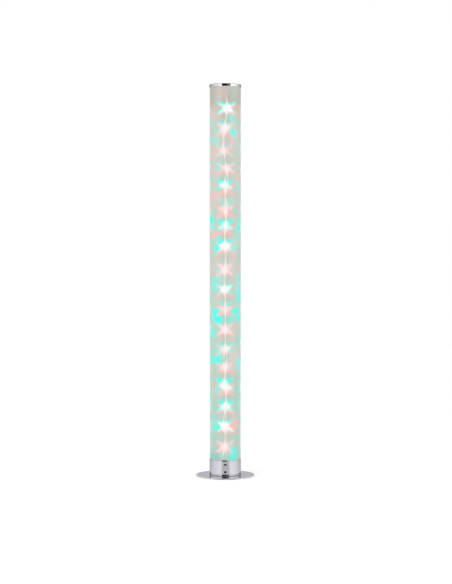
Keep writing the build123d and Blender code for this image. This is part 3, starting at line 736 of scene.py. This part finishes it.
    def cloud(self, sheet: NodeSheet, around: Socket, height: Socket, tint: Tint) -> Socket:
        """Draws the soft light of lights that face another way, strongest between two columns.

        Args:
            sheet: The material's node sheet.
            around: Millimetres round from the nearest column of lights.
            height: Millimetres up.
            tint: The colour whose clouds they are.

        Returns:
            Its share, from 0 to the tint's most.
        """
        haze = sheet.add("TexNoise", {"Vector": sheet.place, "W": tint.seed, "Scale": per_mm(self.cloud_mm),
                                      "Detail": 1.0}, noise_dimensions="4D")
        patch = sheet.add("MapRange", {"Value": haze, 1: tint.start, 2: tint.full, 4: tint.most},
                          interpolation_type="SMOOTHSTEP")
        width = sheet.add("Math", {0: around}, operation="ABSOLUTE")
        near, far = self.cloud_aside_mm
        beside = sheet.add("MapRange", {"Value": width, 1: near, 2: far, 3: self.cloud_in_front},
                           interpolation_type="SMOOTHSTEP")
        top = self.first_mm + self.rows * self.pitch_mm
        start, full = self.cloud_below_top_mm
        below = sheet.add("MapRange", {"Value": height, 1: top - start, 2: top - full},
                          interpolation_type="SMOOTHSTEP")
        patch = sheet.add("Math", {0: patch, 1: below}, operation="MULTIPLY")
        return sheet.add("Math", {0: patch, 1: beside}, operation="MULTIPLY")


def corner(centre: Station, radius: float, start: float, end: float, steps: int = 6) -> list[Station]:
    """Works out the stations of a rounded corner.

    Args:
        centre: Radius and height of the arc's centre.
        radius: The arc's radius.
        start: Angle of its first station in degrees, 0 outwards and 90 up.
        end: Angle of its last station in degrees.
        steps: How many flats it has.

    Returns:
        Radius and height of each station.
    """
    angles = [math.radians(start + (end - start) * i / steps) for i in range(steps + 1)]
    return [(centre[0] + radius * math.cos(a), centre[1] + radius * math.sin(a)) for a in angles]


def start_work() -> None:
    """Leaves edit mode and deselects everything, so that an operator acts on the new piece alone."""
    if bpy.context.object and bpy.context.object.mode != "OBJECT":
        bpy.ops.object.mode_set(mode="OBJECT")
    bpy.ops.object.select_all(action="DESELECT")


def close_rim(mesh: bpy.types.Mesh, station: Station) -> None:
    """Draws the rim at a station together into one point on the axis, in edit mode.

    Args:
        mesh: The mesh that is edited.
        station: The rim's radius and height.
    """
    bpy.ops.mesh.select_all(action="DESELECT")
    bpy.ops.object.mode_set(mode="OBJECT")
    for vertex in mesh.vertices:
        radius = math.hypot(vertex.co.x, vertex.co.y)
        vertex.select = abs(radius - station[0]) < WELD and abs(vertex.co.z - station[1]) < WELD
    bpy.ops.object.mode_set(mode="EDIT")
    bpy.ops.mesh.merge(type="CENTER")


def turn(name: str, stations: list[Station], ring: bool = False, sides: int = SIDES) -> bpy.types.Object:
    """Shapes a round piece as on a lathe: a circle is drawn from station to station and closed.

    Args:
        name: The piece's name.
        stations: Radius and height of each rim, in metres, from first to last.
        ring: Whether the last rim joins the first, as in a tube; otherwise both ends close on the axis.
        sides: How many flats the circle has.

    Returns:
        The piece, at the origin.
    """
    start_work()
    radius, height = stations[0]
    bpy.ops.mesh.primitive_circle_add(vertices=sides, radius=radius, location=(0, 0, height))
    piece = bpy.context.object
    piece.name = piece.data.name = name
    bpy.ops.object.transform_apply()
    bpy.ops.object.mode_set(mode="EDIT")
    bpy.ops.mesh.select_mode(type="VERT")
    bpy.ops.mesh.select_all(action="SELECT")
    for next_radius, next_height in stations[1:] + stations[:1] * ring:
        rise = (0, 0, next_height - height)
        bpy.ops.mesh.extrude_region_move(TRANSFORM_OT_translate={"value": rise})
        scale = next_radius / radius
        bpy.ops.transform.resize(value=(scale, scale, 1), center_override=(0, 0, next_height))
        radius, height = next_radius, next_height
    if not ring:
        close_rim(piece.data, stations[-1])
        close_rim(piece.data, stations[0])
    bpy.ops.mesh.select_all(action="SELECT")
    bpy.ops.mesh.remove_doubles(threshold=WELD)
    bpy.ops.mesh.normals_make_consistent(inside=False)
    bpy.ops.object.mode_set(mode="OBJECT")
    bpy.ops.object.shade_smooth_by_angle(angle=SMOOTH_ANGLE)
    return piece


class CutKind(Enum):
    """What a cutting shape does: it is taken away, or only what lies in it is kept."""

    REMOVE = "DIFFERENCE"
    KEEP = "INTERSECT"


def cut(piece: bpy.types.Object, cutter: bpy.types.Object, kind: CutKind = CutKind.REMOVE) -> None:
    """Cuts a piece with another shape.

    Args:
        piece: The piece.
        cutter: The other shape, which is then deleted.
        kind: What the other shape does.
    """
    start_work()
    bpy.context.view_layer.objects.active = piece
    piece.select_set(True)
    stroke = piece.modifiers.new("cut", "BOOLEAN")
    stroke.operation = kind.value
    stroke.solver = "EXACT"
    stroke.object = cutter
    bpy.ops.object.modifier_apply(modifier=stroke.name)
    bpy.data.objects.remove(cutter)


def drill(radius: float, centre: tuple[float, float, float], depth: float, along_y: bool = False,
          mouth: float | None = None) -> bpy.types.Object:
    """Makes the shape of a drilled or countersunk hole, with no corner on an edge of a turned piece.

    Args:
        radius: The hole's radius, at its top if it is countersunk.
        centre: The middle of the hole.
        depth: Its length.
        along_y: Whether it runs from front to back; otherwise it is upright.
        mouth: The radius of a countersunk hole's lower end.

    Returns:
        The cutter.
    """
    start_work()
    half_flat = math.pi / DRILL_SIDES
    bpy.ops.mesh.primitive_cone_add(
        vertices=DRILL_SIDES, radius1=mouth or radius, radius2=radius, depth=depth, location=centre,
        rotation=(math.pi / 2, half_flat, 0) if along_y else (0, 0, half_flat))
    return bpy.context.object


def face_front(piece: bpy.types.Object, height: float) -> None:
    """Lays a turned piece on its side, so that its top faces the front.

    Args:
        piece: A piece that was turned upright.
        height: The height that its axis goes to.
    """
    start_work()
    bpy.context.view_layer.objects.active = piece
    bpy.ops.object.mode_set(mode="EDIT")
    bpy.ops.mesh.select_all(action="SELECT")
    bpy.ops.transform.rotate(value=-math.pi / 2, orient_axis="X", center_override=(0, 0, 0))
    bpy.ops.transform.translate(value=(0, 0, height))
    bpy.ops.object.mode_set(mode="OBJECT")


class Assembly:
    """What every sub-assembly does with its pieces and with the nodes that keep their own meshes."""

    def dress(self, finish: Finish, *nodes: str) -> None:
        """Gives nodes that keep their meshes a finish.

        Args:
            finish: The finish.
            *nodes: Names of the nodes.
        """
        material = finish.material()
        for name in nodes:
            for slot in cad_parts[name].material_slots:
                slot.material = material
            LOG.info("%s: %s", name, finish.name)

    def settle(self, piece: bpy.types.Object, node: str, slot: str, finish: Finish) -> None:
        """Puts a modelled piece in the place of its node.

        Args:
            piece: The piece.
            node: The node that it stands for.
            slot: The record's material slot; handed on to attach, which does not use it.
            finish: The piece's finish.
        """
        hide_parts(node)
        self.attach(piece, slot, finish)

    def attach(self, piece: bpy.types.Object, slot: str, finish: Finish) -> None:
        """Finishes a modelled piece and fixes it to the lamp.

        Args:
            piece: The piece.
            slot: The record's material slot; not used.
            finish: The piece's finish.
        """
        piece.data.materials.append(finish.material())
        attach(piece, BODY)
        LOG.info("%s: modelled, %s", piece.name, finish.name)


FOAM = ClosedCellFoam("closed_cell_foam", "#202021", roughness=0.9)
CHROME = ChromePlate("chromium_plated_steel", "#D2D1D6", roughness=0.05, metallic=1.0)
ZINC = ZincPlate("zinc_plated_steel", "#B9BEC8", roughness=0.34, metallic=1.0)
CAST_IRON = SandCasting("sand_cast_iron", "#2E2E30", roughness=0.75)
BLACK_ABS = MouldedPlastic("spark_eroded_black_abs", "#252527", roughness=0.55)
BLACK_EPOXY = MouldedPlastic("moulded_black_epoxy", "#1B1B1D", roughness=0.4, other="#242426", relief_mm=0.15)
STAR_FILM = LitStarFilm("star_film_behind_acrylic", "#C8C8BE", roughness=0.32)
ALUMINIUM = AnodisedExtrusion("anodised_aluminium", "#C4C6C8", roughness=0.38, metallic=1.0)
WHITE_BOARD = SolderMask("white_solder_mask", "#E4E4E0", roughness=0.35, track="#F4F4F0")
GREEN_BOARD = SolderMask("green_solder_mask", "#12472A", roughness=0.3, track="#1C6038")
LIGHT = LightPackage("white_light_package", "#F6F4EA", roughness=0.3)
WINDOW = SmokedWindow("smoked_polycarbonate", "#070707", roughness=0.08, ior=1.58)
NICKEL = NickelPlate("nickel_plated_brass", "#CFC6B4", roughness=0.2, metallic=1.0)
SHEATH = WireSheath("soft_wire_sheath", "#1E1E21", roughness=0.5)


@dataclass(frozen=True)
class PressedShell:
    """The section that the cup and the cap share: drawn sheet steel with a necked-in lip.

    The hub is the last rim before the axis. A support rim beside a corner keeps the corner's shading from
    spreading over the flat.
    """

    lip_length: float
    taper: float
    corner_radius: float
    hub: float = 3 * MM
    sheet: float = 0.8 * MM
    edge: float = 0.1 * MM
    edge_slope: float = 1.5
    support: float = 0.25 * MM

    def stations(self, radius: float, base: float, lip: float) -> list[Station]:
        """Works out the section of an open shell, from the outside of its closed end to the inside.

        Args:
            radius: Outer radius.
            base: Height of the closed end's outside.
            lip: Height of the lip's edge; above the base for a cup, below it for a cap.

        Returns:
            Radius and height of each rim.
        """
        inner_radius = radius - self.sheet
        inner_corner = max(self.corner_radius - self.sheet, self.edge)
        outer = corner((radius - self.corner_radius, self.corner_radius), self.corner_radius, -90, 0)
        inner = corner((inner_radius - inner_corner, self.sheet + inner_corner), inner_corner, 0, -90)
        depth = abs(lip - base)
        neck = depth - self.lip_length
        lean = self.taper / (self.lip_length - self.edge)
        section = [
            (self.hub, 0.0),
            (radius - self.corner_radius - self.support, 0.0),
            *outer,
            (radius, self.corner_radius + self.support),
            (radius, neck - self.support),
            (radius, neck),
            (radius - lean * self.support, neck + self.support),
            (radius - self.taper, depth - self.edge),
            (radius - self.taper - self.edge * self.edge_slope, depth),
            (inner_radius, depth),
            (inner_radius, self.sheet + inner_corner + self.support),
            *inner,
            (inner_radius - inner_corner - self.support, self.sheet),
            (self.hub, self.sheet),
        ]
        up = 1 if lip > base else -1
        return [(r, base + up * h) for r, h in section]


@dataclass
class BaseAssembly(Assembly):
    """The foam ring, the disc, the cup with its oval plate, the screws and the iron weight in the cup.

    The disc has a hub and a support rim too, as a pressed shell has.
    """

    pad_edge: float = 0.15 * MM
    pad_hole: float = 44 * MM
    rim_radius: float = 0.4 * MM
    edge_break: float = 0.3 * MM
    hub: float = 3 * MM
    support: float = 0.25 * MM
    screw_circle: float = 26 * MM
    screw_count: int = 3
    clearance: float = 2.25 * MM
    head: float = 4.05 * MM
    head_depth: float = 2 * MM
    shell: PressedShell = PressedShell(lip_length=3.0 * MM, taper=0.6 * MM, corner_radius=1.2 * MM)
    floor_drill: float = 4 * MM
    wall_drill: float = 6 * MM
    eye_hole: float = 3.2 * MM
    eye_height: float = 14.4 * MM
    socket_hole: float = 4.95 * MM
    socket_height: float = 12.4 * MM
    oval_height: float = 33.2 * MM
    oval_width: float = 8.4 * MM
    oval_tall: float = 4.8 * MM
    oval_proud: float = 0.25 * MM
    oval_sunk: float = 0.05 * MM
    oval_bar: float = 4 * MM
    oval_edge: float = 0.06 * MM
    oval_edge_steps: int = 2
    oval_edge_angle: float = math.radians(50)

    def build(self) -> None:
        """Builds and dresses the base from the floor up."""
        self.settle(self.pad(), "floor_pad", "foam", FOAM)
        self.settle(self.disc(), "base_plate", "chromed_steel", CHROME)
        self.settle(self.cup(), "base_cup", "chromed_steel", CHROME)
        self.attach(self.oval(), "black_abs", BLACK_ABS)
        self.dress(ZINC, "plate_screws", "holder_screws", "spine_screws")
        self.dress(CAST_IRON, "ballast")

    def pad(self) -> bpy.types.Object:
        """Models the foam ring with softly cut edges.

        Returns:
            The piece.
        """
        low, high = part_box("floor_pad")
        outer, inner, edge = high.x, self.pad_hole, self.pad_edge
        return turn("foam_ring", [
            (inner + edge, low.z), (outer - edge, low.z), (outer, low.z + edge), (outer, high.z - edge),
            (outer - edge, high.z), (inner + edge, high.z), (inner, high.z - edge), (inner, low.z + edge),
        ], ring=True)

    def disc(self) -> bpy.types.Object:
        """Models the disc with its eased rim, its broken lower edge and its countersunk holes.

        Returns:
            The piece.
        """
        low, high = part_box("base_plate")
        inset = high.x - self.rim_radius
        rim = corner((inset, high.z - self.rim_radius), self.rim_radius, 0, 90)
        stations = [(self.hub, low.z), (high.x - self.edge_break, low.z), (high.x, low.z + self.edge_break),
                    *rim, (inset - self.support, high.z), (self.hub, high.z)]
        disc = turn("chromed_disc", stations)
        middle = (low.z + high.z) / 2
        for x, y in self.screw_places():
            cut(disc, drill(self.clearance, (x, y, middle), 2 * (high.z - low.z)))
            sink_middle = (x, y, low.z + self.head_depth / 2)
            cut(disc, drill(self.clearance, sink_middle, self.head_depth, mouth=self.head))
        return disc

    def screw_places(self) -> list[tuple[float, float]]:
        """Lists where the disc's screws stand."""
        angles = [math.tau * i / self.screw_count for i in range(self.screw_count)]
        return [(self.screw_circle * math.cos(a), self.screw_circle * math.sin(a)) for a in angles]

    def cup(self) -> bpy.types.Object:
        """Models the drawn cup with its necked lip and its holes.

        Returns:
            The piece.
        """
        low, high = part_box("base_cup")
        cup = turn("chromed_cup", self.shell.stations(high.x, low.z, high.z))
        for x, y in self.screw_places():
            cut(cup, drill(self.clearance, (x, y, low.z), self.floor_drill))
        cut(cup, drill(self.eye_hole, (0, -high.x, self.eye_height), self.wall_drill, along_y=True))
        cut(cup, drill(self.socket_hole, (0, high.x, self.socket_height), self.wall_drill, along_y=True))
        return cup

    def oval(self) -> bpy.types.Object:
        """Models the bare oval plate on the cup's front: an oval bar, cut to a skin that follows the wall.

        Returns:
            The piece.
        """
        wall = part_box("base_cup")[1].x
        start_work()
        bpy.ops.mesh.primitive_cylinder_add(
            vertices=SMALL_SIDES, radius=self.oval_width / 2, depth=self.oval_bar,
            location=(0, -wall, self.oval_height), rotation=(math.pi / 2, 0, 0))
        oval = bpy.context.object
        oval.name = oval.data.name = "oval_plate"
        oval.scale = (1, self.oval_tall / self.oval_width, 1)
        bpy.ops.object.transform_apply()
        inner, outer = wall - self.oval_sunk, wall + self.oval_proud
        low, high = self.oval_height - self.oval_tall, self.oval_height + self.oval_tall
        skin = turn("skin", [(inner, low), (outer, low), (outer, high), (inner, high)], ring=True)
        cut(oval, skin, CutKind.KEEP)
        eased = oval.modifiers.new("eased edge", "BEVEL")
        eased.width = self.oval_edge
        eased.segments = self.oval_edge_steps
        eased.angle_limit = self.oval_edge_angle
        bpy.ops.object.modifier_apply(modifier=eased.name)
        bpy.ops.object.shade_smooth_by_angle(angle=SMOOTH_ANGLE)
        return oval


@dataclass
class ColumnAssembly(Assembly):
    """The lit column with what stands in it: film, moulded seat, spine, strips and lights."""

    wall: float = 2 * MM
    chamfer: float = 0.3 * MM
    bands: int = 18

    def build(self) -> None:
        """Builds and dresses the column."""
        self.settle(self.tube(), "diffuser_tube", "clear_acrylic", STAR_FILM)
        self.dress(STAR_FILM, "star_film")
        self.dress(BLACK_ABS, "lower_holder", "cap_insert")
        self.dress(ALUMINIUM, "led_spine")
        for side in ("front", "right", "back", "left"):
            self.dress(WHITE_BOARD, f"led_strip_{side}")
            self.dress(LIGHT, f"leds_{side}")

    def tube(self) -> bpy.types.Object:
        """Models the column's wall, chamfered at both ends.

        Returns:
            The piece.
        """
        low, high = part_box("diffuser_tube")
        outer, inner, cut_back = high.x, high.x - self.wall, self.chamfer
        bottom, top = low.z + cut_back, high.z - cut_back
        rise = (top - bottom) / self.bands
        heights = [bottom + rise * i for i in range(self.bands + 1)]
        stations = [(outer, z) for z in heights]
        stations += [(outer - cut_back, high.z), (inner + cut_back, high.z)]
        stations += [(inner, z) for z in reversed(heights)]
        stations += [(inner + cut_back, low.z), (outer - cut_back, low.z)]
        return turn("lit_column", stations, ring=True)


@dataclass
class CapAssembly(Assembly):
    """The pressed cap that closes the column's top."""

    shell: PressedShell = PressedShell(lip_length=0.8 * MM, taper=0.3 * MM, corner_radius=0.8 * MM)

    def build(self) -> None:
        """Builds the cap."""
        low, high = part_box("top_cap")
        cap = turn("chromed_cap", self.shell.stations(high.x, high.z, low.z))
        self.settle(cap, "top_cap", "chromed_steel", CHROME)


@dataclass
class ControlAssembly(Assembly):
    """The controller box, the receiver behind the eye, the supply socket and their wires.

    The eye is turned with its back down, and its two hubs are its last rims before the axis.
    """

    eye_radius: float = 3.1 * MM
    flange_radius: float = 4.4 * MM
    flange_front: float = 39.85 * MM
    wall_outside: float = 40.9 * MM
    back_hub: float = 1.55 * MM
    tip_hub: float = 0.155 * MM
    dome_steps: int = 6

    def build(self) -> None:
        """Builds the eye and dresses the rest."""
        self.settle(self.eye(), "ir_eye", "smoked_window", WINDOW)
        self.dress(BLACK_ABS, "controller_case_lower", "controller_case_upper", "dc_jack")
        self.dress(GREEN_BOARD, "controller_board", "ir_board")
        self.dress(BLACK_EPOXY, "board_components", "ir_receiver")
        self.dress(NICKEL, "jack_pin")
        self.dress(SHEATH, "ir_lead", "power_lead", "strip_lead")

    def eye(self) -> bpy.types.Object:
        """Models the smoked window: a flange inside the cup's wall, and a plug with a domed face.

        Returns:
            The piece.
        """
        low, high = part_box("ir_eye")
        back, tip = -high.y, -low.y
        rise = tip - self.wall_outside
        sphere = (self.eye_radius ** 2 + rise ** 2) / (2 * rise)
        span = math.asin(self.eye_radius / sphere)
        angles = [span * (1 - i / self.dome_steps) for i in range(self.dome_steps)]
        dome = [(sphere * math.sin(a), tip - sphere * (1 - math.cos(a))) for a in angles]
        stations = [
            (self.back_hub, back), (self.flange_radius, back), (self.flange_radius, self.flange_front),
            (self.eye_radius, self.flange_front), *dome, (self.tip_hub, tip),
        ]
        eye = turn("receiver_window", stations, sides=SMALL_SIDES)
        face_front(eye, (low.z + high.z) / 2)
        return eye


@dataclass(frozen=True)
class SoftboxRing:
    """One ring of softboxes that metal sees round the object, with a gap where the camera stands.

    It starts at a height, the Z of a direction that is 1 long, and ends where the next ring starts. Its stops
    run from the back by the left to the gap, and from the gap by the right to the back.
    """

    start: float
    left: tuple[Stop, ...]
    right: tuple[Stop, ...]
    gap: str = BLACK
    edge: float = 0.004

    def stops(self) -> list[Stop]:
        """Gives the stops of the whole ring, with the gap between its two halves."""
        first, last = self.left[-1][0] + self.edge, self.right[0][0] - self.edge
        return [*self.left, (first, self.gap), (last, self.gap), *self.right]


# From the photograph's place, the cap's wall mirrors the cap's ring, the disc mirrors the plate's ring, and
# the middle of the cup's lip mirrors the lip's ring. The cap's rounded edge mirrors what is above the cap's
# ring, and the top's ring is the first of it.
CAP_RING = SoftboxRing(start=0.07, left=(
    (0.0, "#8E8A8E"), (0.15, "#8E8A8E"), (0.175, "#B8B8BC"), (0.2, "#BBBBBF"), (0.28, "#D2D2D5"),
    (0.36, "#EBEBED"), (0.39, "#FFFFFF"), (0.43, "#FFFFFF"),
), right=(
    (0.538, "#5C5C5E"), (0.603, "#5C5C5E"), (0.607, "#FFFFFF"), (0.69, "#FFFFFF"), (0.72, "#F2F2F3"),
    (0.75, "#E5E5E7"), (0.78, "#D8D8DA"), (0.82, "#B8B8BB"), (0.86, "#8E8A8E"), (1.0, "#8E8A8E"),
))
PLATE_RING = SoftboxRing(start=0.13, left=(
    (0.0, "#A4A4A8"), (0.07, "#A4A4A8"), (0.1, "#6C6C70"), (0.14, "#6C6C70"), (0.17, "#C4C4C8"),
    (0.25, "#C8C8CC"), (0.33, "#D0D0D2"), (0.434, "#D0D0D2"),
), right=(
    (0.527, "#525254"), (0.574, "#525254"), (0.578, "#DCDCDC"), (0.68, "#DCDCDC"), (0.75, "#C4C4C8"),
    (0.83, "#B8B8BC"), (0.86, "#6C6C70"), (0.9, "#6C6C70"), (0.93, "#A4A4A8"), (1.0, "#A4A4A8"),
))
LIP_RING = SoftboxRing(start=0.246, left=(
    (0.0, "#A2A2A6"), (0.25, "#B4B4B8"), (0.4, "#C4C4C7"), (0.43, "#C4C4C7"),
), right=(
    (0.538, "#B8B8BB"), (0.62, "#C4C4C7"), (0.75, "#B4B4B8"), (1.0, "#A2A2A6"),
))
TOP_RING = SoftboxRing(
    start=0.116, left=((0.0, "#A2A2A6"), (0.43, "#8E8E92")), right=((0.538, "#8E8E92"), (1.0, "#A2A2A6")),
    gap="#404044",
)
PLAIN_RING = replace(LIP_RING, gap="#BEBEC1")
SOFTBOX_RINGS = (
    replace(CAP_RING, start=-1.0, gap="#505054"),
    CAP_RING,
    TOP_RING,
    PLATE_RING,
    replace(PLAIN_RING, start=0.178, gap="#8E8E92"),
    LIP_RING,
    replace(PLAIN_RING, start=0.28),
)


@dataclass
class Studio:
    """The pale floor, the light round the object and the camera at the photograph's place."""

    floor_size: float = 12.0
    floor_drop: float = 0.2 * MM
    floor_colour: str = "#F7F7F7"
    floor_lift: float = 0.16
    camera_side: float = 0.0019
    camera_back: float = 3.9
    camera_height: float = 0.579
    camera_pitch: float = math.radians(1.538)
    lens: float = 93.4
    lamp_watts: float = 12.0
    lamp_size: float = 1.4
    lamp_place: tuple[float, float, float] = (-1.6, -1.8, 2.2)
    lamp_aim: tuple[float, float, float] = (0.0, 0.0, 0.5)
    surround: float = 0.92
    card_strength: float = 1.55
    ring_edge: float = 0.004
    ceiling_start: float = 0.55
    ceiling_edge: float = 0.04
    ceiling: str = "#5A5A5C"
    floor_card: tuple[Stop, ...] = (
        (0.0, "#ACACAF"), (0.124, "#ACACAF"), (0.169, "#AEAEB1"), (0.205, "#BEBEC1"), (0.264, "#C9C9CC"),
        (0.338, "#D3D3D5"), (0.403, "#D9D9DA"), (0.424, "#D2D2D3"), (0.436, "#D2D2D3"), (0.444, "#B0B0B3"),
        (0.57, "#B0B0B3"), (0.58, "#D7D7D8"), (0.627, "#DCDCDD"), (0.671, "#D5D5D7"), (0.72, "#CECED0"),
        (0.747, "#C8C8CA"), (0.776, "#C0C0C3"), (0.808, "#B7B7BA"), (0.848, "#B0B0B3"), (0.9, "#ACACAF"),
        (1.0, "#ACACAF"),
    )

    def build(self) -> None:
        """Sets the studio up."""
        self.floor()
        self.world()
        self.lamp()
        self.camera()
        bpy.context.scene.view_settings.view_transform = "Standard"

    def floor(self) -> None:
        """Lays a white floor that keeps the object's shadow; metal sees it as a lit sheet."""
        start_work()
        bpy.ops.mesh.primitive_plane_add(size=self.floor_size, location=(0, 0, -self.floor_drop))
        floor = bpy.context.object
        floor.name = "studio_floor"
        made = bpy.data.materials.new("white_paper_floor")
        made.use_nodes = True
        nodes = made.node_tree.nodes
        nodes.remove(nodes["Principled BSDF"])
        out = nodes["Material Output"]
        sheet = NodeSheet(made.node_tree)
        seen = sheet.add("ValToRGB", {"Fac": sheet.share_of_turn()}, "Color", stops=list(self.floor_card))
        mirrored = sheet.add("Emission", {"Color": seen, "Strength": self.card_strength})
        paper = sheet.add("BsdfDiffuse", {"Color": linear(self.floor_colour)})
        lift = sheet.add("Emission", {"Color": linear(WHITE), "Strength": self.floor_lift})
        glow = sheet.add("AddShader", {0: paper, 1: lift})
        camera_ray = sheet.add("LightPath", output="Is Camera Ray")
        glossy_ray = sheet.add("LightPath", output="Is Glossy Ray")
        shown = sheet.add("MixShader", {0: camera_ray, 1: paper, 2: glow})
        sheet.add("MixShader", {0: glossy_ray, 1: shown, 2: mirrored}, into=out.inputs["Surface"])
        floor.data.materials.append(made)

    def world(self) -> None:
        """Surrounds the object with white, which metal sees as softboxes with a dark gap at the camera."""
        world = bpy.data.worlds.new("studio")
        bpy.context.scene.world = world
        world.use_nodes = True
        nodes = world.node_tree.nodes
        nodes.remove(nodes["Background"])
        out = nodes["World Output"]
        sheet = NodeSheet(world.node_tree, reads="Generated")
        z = sheet.add("SeparateXYZ", {0: sheet.place}, "Z")
        share = sheet.share_of_turn()
        rings = linear(BLACK)
        for ring in SOFTBOX_RINGS:
            shown = sheet.add("ValToRGB", {"Fac": share}, "Color", stops=ring.stops())
            weight = sheet.add("MapRange", {"Value": z, 1: ring.start, 2: ring.start + self.ring_edge})
            rings = sheet.add("Mix", {0: weight, 6: rings, 7: shown}, 2, data_type="RGBA")
        ceiling_full = self.ceiling_start + self.ceiling_edge
        above = sheet.add("MapRange", {"Value": z, 1: self.ceiling_start, 2: ceiling_full})
        seen = sheet.add("Mix", {0: above, 6: rings, 7: linear(self.ceiling)}, 2, data_type="RGBA")
        mirrored = sheet.add("Background", {"Color": seen, "Strength": self.card_strength})
        white = sheet.add("Background", {"Color": linear(WHITE)})
        soft = sheet.add("Background", {"Color": linear(WHITE), "Strength": self.surround})
        camera_ray = sheet.add("LightPath", output="Is Camera Ray")
        glossy_ray = sheet.add("LightPath", output="Is Glossy Ray")
        lit = sheet.add("MixShader", {0: glossy_ray, 1: soft, 2: mirrored})
        sheet.add("MixShader", {0: camera_ray, 1: lit, 2: white}, into=out.inputs["Surface"])

    def lamp(self) -> None:
        """Hangs one large soft lamp at the upper left."""
        data = bpy.data.lights.new("softbox", "AREA")
        data.size = self.lamp_size
        data.energy = self.lamp_watts
        lamp = bpy.data.objects.new("softbox", data)
        bpy.context.scene.collection.objects.link(lamp)
        lamp.location = self.lamp_place
        lamp.rotation_euler = (Vector(self.lamp_aim) - lamp.location).to_track_quat("-Z", "Y").to_euler()
        lamp.visible_glossy = False

    def camera(self) -> None:
        """Sets the camera where the photograph was taken."""
        data = bpy.data.cameras.new("photograph")
        data.lens = self.lens
        camera = bpy.data.objects.new("photograph", data)
        bpy.context.scene.collection.objects.link(camera)
        camera.location = (self.camera_side, -self.camera_back, self.camera_height)
        camera.rotation_euler = (math.pi / 2 - self.camera_pitch, 0, 0)
        bpy.context.scene.camera = camera


def main() -> None:
    """Builds the sub-assemblies in order, then the studio round them."""
    logging.basicConfig(level=logging.INFO, format="%(name)s: %(message)s")
    for part in (BaseAssembly(), ColumnAssembly(), CapAssembly(), ControlAssembly(), Studio()):
        part.build()


if __name__ == "__main__":
    main()
